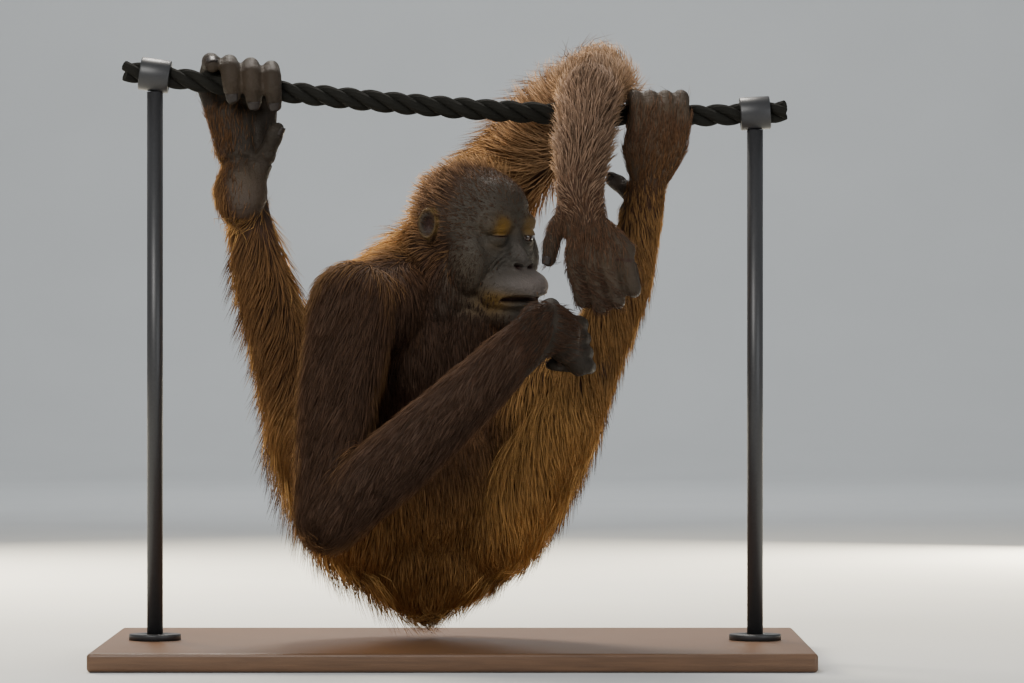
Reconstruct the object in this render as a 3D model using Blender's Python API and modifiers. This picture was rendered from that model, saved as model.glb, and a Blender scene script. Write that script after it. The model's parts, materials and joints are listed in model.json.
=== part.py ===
"""A young orangutan, life-size, hanging by both feet and one hooked arm from a cut length of rope.

Metres, +Z up, +X to the right and -Y towards the viewer. The origin is under the middle of the stand.
The flesh is built from rounded masses fused by a voxel remesh, parted at the joints, and the long coat
is laid on it as flat tapered locks that bend along the lie of the hair.
"""

import math
import random

import bmesh
import bpy
import numpy as np
from mathutils import Matrix, Vector
from mathutils.bvhtree import BVHTree

# Clearances and the grain of the fused flesh
GAP = 0.0003
SOCKET_GROWTH = 1.5 * GAP
GUARD_GROWTH = 1.6 * GAP
WELD = 0.0000002
BODY_VOXEL = 0.0060
HEAD_VOXEL = 0.0030
LIMB_END_VOXEL = 0.0030
DIGIT_VOXEL = 0.0022

# Stand and rope
BASE_SIZE = (0.700, 0.440, 0.018)
BASE_ROUNDING = 0.004
ROD_RADIUS = 0.008
ROD_X = 0.300
FLANGE_RADIUS = 0.026
FLANGE_HEIGHT = 0.006
COLLAR_RADIUS = 0.0165
COLLAR_LENGTH = 0.030
ROPE_RADIUS = 0.0112
ROPE_LAY = 0.069
ROPE_STRANDS = 3
ROPE_END_X = 0.330
ROPE_SAG = ((-0.330, 0.587), (-0.255, 0.577), (-0.135, 0.562), (0.005, 0.550), (0.071, 0.546),
            (0.185, 0.542), (0.237, 0.542), (0.330, 0.547))

# Trunk and limb joints
HIP_R = Vector((-0.056, 0.045, 0.104))
KNEE_R = Vector((-0.148, -0.022, 0.236))
ANKLE_R = Vector((-0.206, 0.024, 0.447))
HIP_L = Vector((0.008, 0.045, 0.102))
KNEE_L = Vector((0.109, -0.022, 0.240))
ANKLE_L = Vector((0.185, -0.016, 0.436))
SHOULDER_R = Vector((-0.099, -0.046, 0.352))
ELBOW_R = Vector((-0.120, -0.136, 0.148))
WRIST_R = Vector((0.088, -0.150, 0.330))
SHOULDER_L = Vector((0.020, 0.122, 0.452))
ELBOW_L = Vector((0.147, 0.030, 0.579))
WRIST_L = Vector((0.123, -0.136, 0.464))
HEAD_CENTRE = Vector((0.0225, 0.010, 0.438))
HEAD_YAW = math.radians(-43)
HEAD_PITCH = math.radians(9)
HEAD_ROLL = math.radians(3)
NECK_CUT = Vector((-0.004, 0.028, 0.385))
NECK_AXIS = Vector((0.552, -0.299, 0.778))

EYE_RADIUS = 0.0098
LID_THICKNESS = 0.0020
LID_RINGS = 4
LID_SIDES = 12
EYE_PLACE = Vector((0.0480, 0.0200, -0.0105))
EAR_PLACE = Vector((-0.014, 0.0565, -0.003))
# Height of the upper and the lower lid's edge over the middle of the eye: the left is half open, the right shut
LID_EDGES = {"left": (0.0022, -0.0036), "right": (-0.0024, -0.0034)}
# The coat's locks. Their roots are sunk in the flesh, their long edges rise over it, and each corner strays a little.
# They keep clear of a neighbouring node, and need room over their roots.
SUNK = 0.0045
NODE_CLEAR = 0.0022
HEADROOM = 0.022
ROOT_TRIES = 24
EDGE_LIFT = 0.0010
STRAY = 0.0002
SWAY = 0.16
TIP_REACH = 0.012
# Shares of its triangles that a coated node may be thinned to, draws of locks, and lengths tried for a lock
COAT_KEPT = (0.80, 0.78, 0.82, 0.84, 0.87)
COAT_DRAWS = 8
LOCK_SHARES = (1.0, 0.75, 0.55)
# For each node: a lock's length, its width and thickness at the middle, how far apart the roots stand,
# and the height of its tip over the flesh
LOCKS = {
    "head": dict(length=0.038, width=0.034, thickness=0.0050, spacing=0.0270, lift=0.007),
    "neck": dict(length=0.050, width=0.040, thickness=0.0070, spacing=0.0400, lift=0.010),
    "torso": dict(length=0.082, width=0.054, thickness=0.0070, spacing=0.0480, lift=0.013),
    "upper_arm_right": dict(length=0.080, width=0.050, thickness=0.0070, spacing=0.0440, lift=0.014),
    "forearm_right": dict(length=0.066, width=0.042, thickness=0.0060, spacing=0.0420, lift=0.010),
    "upper_arm_left": dict(length=0.068, width=0.048, thickness=0.0070, spacing=0.0460, lift=0.016),
    "forearm_left": dict(length=0.056, width=0.042, thickness=0.0060, spacing=0.0370, lift=0.010),
    "thigh_right": dict(length=0.078, width=0.050, thickness=0.0070, spacing=0.0440, lift=0.016),
    "shin_right": dict(length=0.066, width=0.042, thickness=0.0070, spacing=0.0410, lift=0.014),
    "thigh_left": dict(length=0.078, width=0.050, thickness=0.0070, spacing=0.0440, lift=0.016),
    "shin_left": dict(length=0.066, width=0.042, thickness=0.0070, spacing=0.0410, lift=0.014),
}
# Starts of the nodes' names, and the colour, roughness and metallic of what they are made of
SURFACES = (
    (("head", "ear"), ("dark skin and hair", (0.070, 0.045, 0.034), 0.62, 0.0)),
    (("eye",), ("wet dark eye", (0.020, 0.010, 0.006), 0.10, 0.0)),
    (("hand", "foot", "finger", "toe"), ("bare creased skin", (0.050, 0.040, 0.036), 0.58, 0.0)),
    (("perch",), ("laid fibre rope", (0.100, 0.080, 0.060), 0.90, 0.0)),
    (("stand_base",), ("oiled dark wood", (0.120, 0.070, 0.040), 0.45, 0.0)),
    (("stand",), ("blackened metal", (0.030, 0.030, 0.032), 0.40, 1.0)),
    (("",), ("long red-brown coat", (0.170, 0.070, 0.028), 0.80, 0.0)),
)
# Along a lock: share of its length, of its width, and of its tip's lift
LOCK_ROWS = ((0.0, 0.62, 0.0), (0.36, 1.00, 0.16), (0.72, 0.66, 0.50))


def clear_scene():
    for thing in list(bpy.data.objects):
        bpy.data.objects.remove(thing)


def new_collection(name, helper=False):
    made = bpy.data.collections.new(name)
    bpy.context.scene.collection.children.link(made)
    made.hide_render = helper
    return made


def new_material(name, colour, roughness, metallic=0.0):
    made = bpy.data.materials.new(name)
    made.use_nodes = True
    shader = made.node_tree.nodes["Principled BSDF"]
    shader.inputs["Base Color"].default_value = (*colour, 1.0)
    shader.inputs["Roughness"].default_value = roughness
    shader.inputs["Metallic"].default_value = metallic
    return made


def object_from(name, bm, collection):
    mesh = bpy.data.meshes.new(name)
    bm.to_mesh(mesh)
    bm.free()
    made = bpy.data.objects.new(name, mesh)
    collection.objects.link(made)
    return made


def remove(obj):
    bpy.data.objects.remove(obj)


def settle(obj):
    """Applies the modifiers of obj, so that the next step works on its evaluated mesh."""
    graph = bpy.context.evaluated_depsgraph_get()
    mesh = bpy.data.meshes.new_from_object(obj.evaluated_get(graph))
    obj.modifiers.clear()
    obj.data = mesh
    return obj


def sphere_points(centre, radii, turn=Matrix.Identity(3), rings=7, around=12):
    """Points over an ellipsoid, enough for its convex hull."""
    points = []
    for i in range(rings + 1):
        polar = math.pi * i / rings
        for j in range(around if 0 < i < rings else 1):
            angle = 2 * math.pi * j / around
            unit = Vector((math.sin(polar) * math.cos(angle),
                           math.sin(polar) * math.sin(angle), math.cos(polar)))
            local = Vector((unit.x * radii[0], unit.y * radii[1], unit.z * radii[2]))
            points.append(Vector(centre) + turn @ local)
    return points


def add_hull(bm, points):
    verts = [bm.verts.new(p) for p in points]
    made = bmesh.ops.convex_hull(bm, input=verts)
    inside = {v for v in made["geom_interior"] if isinstance(v, bmesh.types.BMVert)}
    bmesh.ops.delete(bm, geom=list(inside), context="VERTS")


def egg(centre, radii, turn=Matrix.Identity(3)):
    """One ellipsoid mass."""
    return sphere_points(centre, radii, turn)


def taper(start, start_radius, end, end_radius):
    """One limb mass: the hull round two balls."""
    return (sphere_points(start, (start_radius,) * 3) + sphere_points(end, (end_radius,) * 3))


def chain(*joints):
    """Limb masses through (point, radius) joints."""
    return [taper(a, ra, b, rb) for (a, ra), (b, rb) in zip(joints, joints[1:])]


def decimate_to(obj, triangles):
    obj.data.calc_loop_triangles()
    cut = obj.modifiers.new("thin out", "DECIMATE")
    cut.ratio = min(1.0, triangles / len(obj.data.loop_triangles))
    return settle(obj)


def flesh(name, masses, voxel, smoothing, triangles, collection, shape=None):
    """Fuses the masses into one smooth closed body, and shape may then move its vertices."""
    bm = bmesh.new()
    for points in masses:
        add_hull(bm, points)
    obj = object_from(name, bm, collection)
    remesh = obj.modifiers.new("fuse", "REMESH")
    remesh.mode = "VOXEL"
    remesh.voxel_size = voxel
    smooth = obj.modifiers.new("soften", "SMOOTH")
    smooth.factor = 0.5
    smooth.iterations = smoothing
    settle(obj)
    if shape:
        for vertex in obj.data.vertices:
            vertex.co = shape(vertex.co)
    return decimate_to(obj, triangles)


def largest_body(obj):
    """Keeps the largest closed surface of obj, counting faces as joined across shared edges only."""
    bm = bmesh.new()
    bm.from_mesh(obj.data)
    left, bodies = set(bm.faces), []
    while left:
        body, front = set(), [left.pop()]
        while front:
            face = front.pop()
            body.add(face)
            for edge in face.edges:
                if len(edge.link_faces) == 2:
                    beyond = [other for other in edge.link_faces if other in left]
                    left.difference_update(beyond)
                    front.extend(beyond)
        bodies.append(body)
    keep = max(bodies, key=len)
    bmesh.ops.delete(bm, geom=[f for f in bm.faces if f not in keep], context="FACES")
    bmesh.ops.triangulate(bm, faces=bm.faces)
    bm.to_mesh(obj.data)
    bm.free()
    return obj


def swollen(obj, by, collection):
    """A copy of obj grown outwards, as the cutter that leaves the gap round it."""
    made = obj.copy()
    made.data = obj.data.copy()
    collection.objects.link(made)
    grow = made.modifiers.new("grow", "DISPLACE")
    grow.strength = by
    grow.mid_level = 0.0
    settle(made)
    return made


def combine(obj, others, operation, solver="EXACT"):
    """Cuts the others from obj, or joins them to it, in one Boolean on their collection."""
    tools = new_collection("tools for " + obj.name, helper=True)
    for other in others:
        for home in list(other.users_collection):
            home.objects.unlink(other)
        tools.objects.link(other)
    boolean = obj.modifiers.new(operation.lower(), "BOOLEAN")
    boolean.operation = operation
    boolean.operand_type = "COLLECTION"
    boolean.collection = tools
    boolean.solver = solver
    settle(obj)
    for other in others:
        remove(other)
    bpy.data.collections.remove(tools)
    return largest_body(obj)


def tree_of(obj):
    bm = bmesh.new()
    bm.from_mesh(obj.data)
    bmesh.ops.triangulate(bm, faces=bm.faces)
    tree = BVHTree.FromBMesh(bm)
    bm.free()
    return tree


def is_sound(obj):
    """Whether each edge still has two faces when points closer than the weld are made one."""
    bm = bmesh.new()
    bm.from_mesh(obj.data)
    bmesh.ops.remove_doubles(bm, verts=bm.verts, dist=WELD)
    sound = all(len(edge.link_faces) == 2 for edge in bm.edges)
    bm.free()
    return sound


def make_room(obj, neighbours, helpers):
    """Cuts a socket in obj for each neighbour that sits in it."""
    for neighbour in neighbours:
        cutter = swollen(neighbour, SOCKET_GROWTH, helpers)
        if tree_of(obj).overlap(tree_of(cutter)):
            combine(obj, [cutter], "DIFFERENCE")
        else:
            remove(cutter)
    return obj


def trimmed(obj, point, normal):
    """Cuts off what lies beyond the plane, on the side that normal points to, and closes the cut."""
    bm = bmesh.new()
    bm.from_mesh(obj.data)
    found = bmesh.ops.bisect_plane(
        bm, geom=bm.verts[:] + bm.edges[:] + bm.faces[:], dist=1e-6,
        plane_co=point - normal * GAP / 2, plane_no=normal, clear_outer=True)
    rim = [e for e in found["geom_cut"] if isinstance(e, bmesh.types.BMEdge)]
    cap = bmesh.ops.holes_fill(bm, edges=rim)["faces"]
    bmesh.ops.triangulate(bm, faces=cap)
    bmesh.ops.recalc_face_normals(bm, faces=bm.faces)
    bm.to_mesh(obj.data)
    bm.free()
    return largest_body(obj)


def halved(obj, name, point, normal, collection):
    """Parts obj at a plane with a thin cut; obj keeps the side that the normal points away from."""
    far = obj.copy()
    far.data = obj.data.copy()
    far.name = name
    collection.objects.link(far)
    return trimmed(obj, point, normal), trimmed(far, point, -normal)


def bend_plane(before, joint, after):
    """The normal of the plane that parts a bent limb at its joint."""
    return ((after - joint).normalized() - (before - joint).normalized()).normalized()


def head_frame():
    """Places the head: its own X is the way the face looks, Y its left and Z its crown."""
    turn = (Matrix.Rotation(HEAD_YAW, 4, "Z") @ Matrix.Rotation(HEAD_PITCH, 4, "Y")
            @ Matrix.Rotation(HEAD_ROLL, 4, "X"))
    return Matrix.Translation(HEAD_CENTRE) @ turn


def bump(place, centre, radii):
    """A soft weight, 1 at the centre and fading over the radii."""
    d = sum(((place[i] - centre[i]) / radii[i]) ** 2 for i in range(3))
    return math.exp(-d)


def face_shape(p):
    """Presses the sockets, the nostrils and the line of the mouth into the head, in its own frame."""
    p = Vector(p)
    for side in (-1, 1):
        socket = bump(p, (0.060, side * 0.0205, -0.0125), (0.013, 0.0125, 0.0085))
        p.x -= 0.0065 * socket
        nostril = bump(p, (0.0840, side * 0.0060, -0.0380), (0.006, 0.0036, 0.0026))
        p.x -= 0.0050 * nostril
        hollow = bump(p, (0.062, side * 0.026, -0.036), (0.010, 0.007, 0.008))
        p.x -= 0.0028 * hollow
    bridge = bump(p, (0.060, 0.0, -0.0140), (0.010, 0.010, 0.010))
    p.x -= 0.0030 * bridge
    corner_rise = 0.10 * abs(p.y)
    line = math.exp(-((p.z + 0.0690 + corner_rise) / 0.0028) ** 2)
    reach = 1 / (1 + math.exp((abs(p.y) - 0.031) / 0.0015))
    front = 1 / (1 + math.exp((0.045 - p.x) / 0.003))
    p.x -= 0.0060 * line * reach * front
    return p


def head_masses():
    masses = [
        egg((-0.004, 0, 0.004), (0.062, 0.056, 0.052)),
        egg((0.020, 0, 0.014), (0.038, 0.046, 0.036)),
        taper((0.045, -0.027, 0.003), 0.0115, (0.045, 0.027, 0.003), 0.0115),
        egg((0.028, 0, -0.030), (0.034, 0.045, 0.042)),
        egg((0.051, 0, -0.057), (0.036, 0.036, 0.030)),
        egg((0.063, 0, -0.0540), (0.030, 0.031, 0.019)),
        egg((0.050, 0, -0.086), (0.027, 0.027, 0.018)),
        egg((-0.006, 0, -0.055), (0.036, 0.038, 0.038)),
        taper((0.054, 0, -0.010), 0.0080, (0.073, 0, -0.032), 0.0095),
    ]
    for side in (-1, 1):
        masses += [
            egg((0.026, side * 0.034, -0.036), (0.024, 0.020, 0.034)),
            taper((0.0, side * 0.030, -0.062), 0.023, (0.042, side * 0.012, -0.086), 0.015),
            egg((0.0770, side * 0.0075, -0.0350), (0.0065, 0.0070, 0.0055)),
        ]
    return masses


def lid(centre, way, edge):
    """Points of a cap over the eyeball, from above (1) or below (-1) it down to the lid's edge."""
    radius = EYE_RADIUS + LID_THICKNESS
    reach = math.acos(way * edge / radius)
    points = [centre + Vector((0, 0, way * radius))]
    for i in range(1, LID_RINGS + 1):
        polar = reach * i / LID_RINGS
        for j in range(LID_SIDES):
            angle = 2 * math.pi * j / LID_SIDES
            points.append(centre + radius * Vector((math.sin(polar) * math.cos(angle),
                                                    math.sin(polar) * math.sin(angle), way * math.cos(polar))))
    return points


def add_lids(head, helpers):
    """Fuses the four lids with the head, before the eyes' sockets are cut."""
    lids = []
    for side, name in ((1, "left"), (-1, "right")):
        centre = Vector((EYE_PLACE.x, side * EYE_PLACE.y, EYE_PLACE.z))
        for way, edge in zip((1, -1), LID_EDGES[name]):
            bm = bmesh.new()
            add_hull(bm, lid(centre, way, edge))
            bmesh.ops.transform(bm, matrix=head_frame(), verts=bm.verts)
            bmesh.ops.recalc_face_normals(bm, faces=bm.faces)
            lids.append(object_from("lid", bm, helpers))
    return combine(head, lids, "UNION")


def make_head(nodes, helpers):
    """The head and the neck, which meet at a cut under the jaw, with the eyes and ears set in the head."""
    into_head = head_frame().inverted()
    masses = head_masses() + [[into_head @ p for p in points] for points in neck_masses()]
    head = flesh("head", masses, HEAD_VOXEL, 5, 2300, nodes, face_shape)
    head.data.transform(head_frame())
    trimmed(head, NECK_CUT, -NECK_AXIS)
    neck = trimmed(flesh("neck", neck_masses(), BODY_VOXEL, 4, 150, nodes), NECK_CUT, NECK_AXIS)
    eyes, ears = [], []
    for side, name in ((1, "left"), (-1, "right")):
        centre = Vector((EYE_PLACE.x, side * EYE_PLACE.y, EYE_PLACE.z))
        bm = bmesh.new()
        bmesh.ops.create_uvsphere(bm, u_segments=8, v_segments=6, radius=EYE_RADIUS,
                                  matrix=Matrix.Translation(centre))
        bmesh.ops.transform(bm, matrix=head_frame(), verts=bm.verts)
        bmesh.ops.triangulate(bm, faces=bm.faces)
        eyes.append(object_from("eye_" + name, bm, nodes))
        ears.append(make_ear("ear_" + name, side, nodes))
    add_lids(head, helpers)
    make_room(head, eyes, helpers)
    for ear in ears:
        make_room(ear, [head], helpers)
    return head, neck, eyes, ears


def make_ear(name, side, nodes):
    """A small cup with a rolled rim: a flat egg with a hollow in its outer face."""
    lean = Matrix.Rotation(side * math.radians(-28), 3, "Z")
    centre = Vector((EAR_PLACE.x, side * EAR_PLACE.y, EAR_PLACE.z))

    def hollow(p):
        local = lean.inverted() @ (Vector(p) - centre)
        out = local.y * side
        cup = math.exp(-((local.x - 0.001) / 0.0062) ** 2 - (local.z / 0.0100) ** 2)
        if out > 0.002:
            local.y -= side * 0.0062 * cup
        return lean @ local + centre

    masses = [egg(centre, (0.0105, 0.0070, 0.0165), lean),
              egg(centre + lean @ Vector((0.002, side * -0.003, -0.013)), (0.005, 0.006, 0.006), lean)]
    ear = flesh(name, masses, DIGIT_VOXEL, 2, 120, nodes, hollow)
    ear.data.transform(head_frame())
    return ear


def trunk_masses():
    return [
        egg((-0.024, 0.046, 0.104), (0.074, 0.060, 0.052)),
        taper((-0.028, 0.040, 0.085), 0.042, (-0.026, 0.032, 0.064), 0.022),
        egg((-0.026, 0.032, 0.185), (0.090, 0.080, 0.095)),
        egg((-0.044, 0.036, 0.290), (0.086, 0.082, 0.092)),
        egg((-0.070, 0.062, 0.345), (0.066, 0.056, 0.058)),
        taper((-0.080, -0.020, 0.345), 0.050, (-0.002, 0.112, 0.412), 0.036),
        taper((-0.066, 0.066, 0.355), 0.052, (-0.046, 0.068, 0.385), 0.044),
        taper((-0.040, 0.072, 0.345), 0.052, (-0.014, 0.092, 0.390), 0.042),
    ]


def neck_masses():
    return [taper((-0.040, 0.045, 0.350), 0.056, (-0.002, 0.034, 0.412), 0.052),
            taper((-0.020, 0.015, 0.340), 0.044, (0.012, 0.008, 0.390), 0.040)]


def arm_r_masses():
    return chain((SHOULDER_R, 0.047), (Vector((-0.114, -0.092, 0.262)), 0.040), (ELBOW_R, 0.035)) + chain(
        (ELBOW_R, 0.035), (Vector((-0.050, -0.142, 0.206)), 0.0365),
        (Vector((0.030, -0.148, 0.278)), 0.030), (WRIST_R, 0.0255))


def arm_l_masses():
    return chain((SHOULDER_L, 0.044), (Vector((0.090, 0.072, 0.524)), 0.036), (ELBOW_L, 0.027)) + [
        egg((0.138, -0.004, 0.5795), (0.034, 0.036, 0.0200))] + chain(
        (Vector((0.140, 0.014, 0.580)), 0.0205), (Vector((0.134, -0.047, 0.563)), 0.029),
        (Vector((0.127, -0.100, 0.513)), 0.027), (WRIST_L, 0.0225))


def leg_r_masses():
    return chain((HIP_R.lerp(KNEE_R, 0.25), 0.053), (Vector((-0.106, 0.012, 0.168)), 0.048), (KNEE_R, 0.036)) + chain(
        (KNEE_R, 0.035), (Vector((-0.166, -0.006, 0.300)), 0.031),
        (Vector((-0.194, 0.014, 0.390)), 0.0245), (ANKLE_R, 0.0205))


def leg_l_masses():
    return chain((HIP_L.lerp(KNEE_L, 0.25), 0.052), (Vector((0.062, 0.012, 0.168)), 0.047), (KNEE_L, 0.036)) + chain(
        (KNEE_L, 0.035), (Vector((0.138, -0.020, 0.305)), 0.030),
        (Vector((0.170, -0.017, 0.378)), 0.0245), (ANKLE_L, 0.0205))


def rope_height(x):
    """Height of the rope's centre line, smooth through its measured sag."""
    xs = [p[0] for p in ROPE_SAG]
    fit = np.polyfit(xs, [p[1] for p in ROPE_SAG], 4)
    return float(np.polyval(fit, x))


def hook(x, start_deg, end_deg, digit_radius, slant=0.0, steps=7):
    """Points round the rope, from behind it (0) over its top (90) to its front (180), slanting along it."""
    reach = ROPE_RADIUS + digit_radius + 6 * GAP
    points = []
    for i in range(steps):
        share = i / (steps - 1)
        angle = math.radians(start_deg + (end_deg - start_deg) * share)
        along = x + slant * (share - 0.5)
        points.append(Vector((along, reach * math.cos(angle), rope_height(along) + reach * math.sin(angle))))
    return points


def separate(digits, helpers):
    """Presses each digit's side flat where it would pass into the one before it."""
    for before, after in zip(digits, digits[1:]):
        make_room(after, [before], helpers)


def digit(name, points, radii, collection, triangles=56):
    joints = [(p, r) for p, r in zip(points, radii)]
    return flesh(name, chain(*joints), DIGIT_VOXEL, 2, triangles, collection)


def make_foot_r(nodes, helpers):
    """The near foot hangs sole forward: its toes rise behind the rope and curl over to the front."""
    toes = []
    for i, (x, end, radius) in enumerate(((-0.1835, 222, 0.0080), (-0.2040, 224, 0.0082),
                                          (-0.2255, 212, 0.0082), (-0.2460, 128, 0.0080))):
        arc = hook(x, -16, end, radius, slant=0.008)
        root = Vector((x - 0.006 + 0.004 * i, 0.024, rope_height(x) - 0.032))
        points = [root] + arc
        radii = [radius * 1.1] * 2 + [radius] * (len(points) - 3) + [radius * 0.88]
        toes.append(digit(f"toe_right_{i + 2}", points, radii, nodes))
    hallux = digit("toe_right_1", [Vector((-0.199, 0.004, 0.484)), Vector((-0.189, -0.002, 0.502)),
                                   Vector((-0.183, -0.007, 0.516)), Vector((-0.179, -0.010, 0.526))],
                   [0.0125, 0.0100, 0.0092, 0.0080], nodes)
    toes.append(hallux)
    masses = chain((Vector((-0.209, 0.002, 0.460)), 0.0215), (Vector((-0.211, 0.008, 0.490)), 0.0205),
                   (Vector((-0.214, 0.018, 0.520)), 0.0170))
    masses += chain((ANKLE_R + Vector((0, 0.000, -0.004)), 0.0200), (Vector((-0.211, 0.014, 0.490)), 0.0190))
    masses += [taper((-0.234, 0.023, 0.524), 0.0125, (-0.196, 0.023, 0.524), 0.0125),
               taper((-0.216, 0.010, 0.480), 0.0180, (-0.200, 0.010, 0.480), 0.0170)]
    separate(toes, helpers)
    foot = flesh("foot_right", masses, LIMB_END_VOXEL, 3, 180, nodes)
    make_room(foot, toes, helpers)
    return foot, toes


def make_foot_l(nodes, helpers):
    """The far foot hooks the rope from the front: its toes go up before it and curl down behind."""
    toes = []
    for i, x in enumerate((0.2255, 0.2100, 0.1945, 0.1790)):
        radius = 0.0073
        arc = hook(x, 192, -30, radius, slant=-0.004)
        root = Vector((x - 0.004, -0.026, rope_height(x) - 0.034))
        points = [root] + arc
        radii = [radius * 1.1] * 2 + [radius] * (len(points) - 3) + [radius * 0.88]
        toes.append(digit(f"toe_left_{5 - i}", points, radii, nodes))
    hallux = digit("toe_left_1", [Vector((0.184, 0.004, 0.458)), Vector((0.173, 0.014, 0.468)),
                                  Vector((0.165, 0.022, 0.474)), Vector((0.158, 0.028, 0.479))],
                   [0.0110, 0.0095, 0.0088, 0.0075], nodes)
    toes.append(hallux)
    masses = chain((ANKLE_L, 0.0205), (Vector((0.192, -0.020, 0.470)), 0.0190), (Vector((0.200, -0.025, 0.502)), 0.0165))
    masses += [taper((0.180, -0.027, 0.512), 0.0115, (0.216, -0.027, 0.512), 0.0115),
               taper(ANKLE_L, 0.0185, (0.180, 0.006, 0.444), 0.0165),
               taper((0.180, 0.002, 0.450), 0.0130, (0.196, -0.012, 0.485), 0.0130)]
    separate(toes, helpers)
    foot = flesh("foot_left", masses, LIMB_END_VOXEL, 3, 180, nodes)
    make_room(foot, toes, helpers)
    return foot, toes


def make_hand_l(nodes, helpers):
    """The far hand hangs from its wrist before the chin, its fingers curled back under."""
    knuckles = ((0.1185, -0.144, 0.386), (0.1350, -0.147, 0.383), (0.1515, -0.147, 0.387), (0.1675, -0.143, 0.395))
    bends = ((0.1255, -0.145, 0.358), (0.1425, -0.149, 0.353), (0.1590, -0.147, 0.357), (0.1745, -0.142, 0.368))
    fingers = []
    for i, (knuckle, bend) in enumerate(zip(knuckles, bends)):
        root = Vector(knuckle)
        turn = Vector(bend)
        points = [root + Vector((0, 0, 0.010)), root, turn, turn + Vector((0.001, 0.013, -0.002)),
                  turn + Vector((0.000, 0.023, 0.008)), turn + Vector((-0.001, 0.025, 0.022))]
        radii = [0.0080, 0.0084, 0.0079, 0.0076, 0.0073, 0.0064]
        fingers.append(digit(f"finger_left_{i + 2}", points, radii, nodes))
    thumb = digit("finger_left_1", [Vector((0.109, -0.134, 0.437)), Vector((0.1005, -0.132, 0.426)),
                                    Vector((0.0955, -0.131, 0.412)), Vector((0.0930, -0.129, 0.396))],
                  [0.0105, 0.0098, 0.0088, 0.0074], nodes)
    fingers.append(thumb)
    masses = chain((WRIST_L, 0.0220), (Vector((0.130, -0.141, 0.430)), 0.0195), (Vector((0.140, -0.144, 0.402)), 0.0155))
    masses += [taper((0.121, -0.144, 0.398), 0.0120, (0.163, -0.143, 0.405), 0.0115),
               taper((0.112, -0.136, 0.442), 0.0130, (0.126, -0.141, 0.410), 0.0130)]
    separate(fingers, helpers)
    hand = flesh("hand_left", masses, LIMB_END_VOXEL, 3, 180, nodes)
    make_room(hand, fingers, helpers)
    return hand, fingers


def make_hand_r(nodes, helpers):
    """The near hand is bent at the wrist and loosely closed beside the mouth."""
    fingers = []
    for i in range(4):
        drop = Vector((0.0025 * i - 0.002, 0.001 * i, -0.0140 * i))
        root = Vector((0.124, -0.120, 0.3345)) + drop
        points = [root + Vector((-0.007, -0.002, -0.001)), root, root + Vector((0.003, 0.020, -0.001)),
                  root + Vector((-0.010, 0.033, 0.000)), root + Vector((-0.024, 0.031, 0.001)),
                  root + Vector((-0.032, 0.020, 0.001))]
        radii = [0.0074, 0.0076, 0.0072, 0.0070, 0.0068, 0.0060]
        fingers.append(digit(f"finger_right_{i + 2}", points, radii, nodes))
    thumb = digit("finger_right_1", [Vector((0.096, -0.130, 0.344)), Vector((0.095, -0.112, 0.350)),
                                     Vector((0.092, -0.098, 0.350)), Vector((0.088, -0.086, 0.347))],
                  [0.0105, 0.0095, 0.0085, 0.0072], nodes)
    fingers.append(thumb)
    masses = chain((WRIST_R, 0.0250), (Vector((0.106, -0.138, 0.323)), 0.0205))
    masses += [taper((0.112, -0.128, 0.333), 0.0120, (0.119, -0.126, 0.296), 0.0115),
               taper((0.102, -0.138, 0.334), 0.0180, (0.108, -0.134, 0.310), 0.0160)]
    separate(fingers, helpers)
    hand = flesh("hand_right", masses, LIMB_END_VOXEL, 3, 180, nodes)
    make_room(hand, fingers, helpers)
    return hand, fingers


def make_rope(nodes):
    """A laid rope: a lobed section turned along the sagging line."""
    rings_per_turn, points_per_strand = 5, 2
    turns = 2 * ROPE_END_X / ROPE_LAY
    rings = round(turns * rings_per_turn)
    around = ROPE_STRANDS * points_per_strand
    bm = bmesh.new()
    rows = []
    for i in range(rings + 1):
        x = -ROPE_END_X + 2 * ROPE_END_X * i / rings
        twist = 2 * math.pi * i / rings_per_turn
        row = []
        for j in range(around):
            angle = 2 * math.pi * j / around
            lobe = ROPE_RADIUS * (0.90 + 0.09 * math.cos(ROPE_STRANDS * angle))
            row.append(bm.verts.new((x, lobe * math.cos(angle + twist),
                                     rope_height(x) + lobe * math.sin(angle + twist))))
        rows.append(row)
    for low, high in zip(rows, rows[1:]):
        for j in range(around):
            bm.faces.new((low[j], low[(j + 1) % around], high[(j + 1) % around], high[j]))
    bm.faces.new(rows[0])
    bm.faces.new(rows[-1])
    bmesh.ops.recalc_face_normals(bm, faces=bm.faces)
    bmesh.ops.triangulate(bm, faces=bm.faces)
    return object_from("perch_rope", bm, nodes)


def cylinder(name, start, end, radius, nodes, segments=16):
    start, end = Vector(start), Vector(end)
    bm = bmesh.new()
    place = Matrix.Translation((start + end) / 2) @ (end - start).to_track_quat("Z", "Y").to_matrix().to_4x4()
    bmesh.ops.create_cone(bm, cap_ends=True, segments=segments, radius1=radius, radius2=radius,
                          depth=(end - start).length, matrix=place)
    return object_from(name, bm, nodes)


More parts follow.
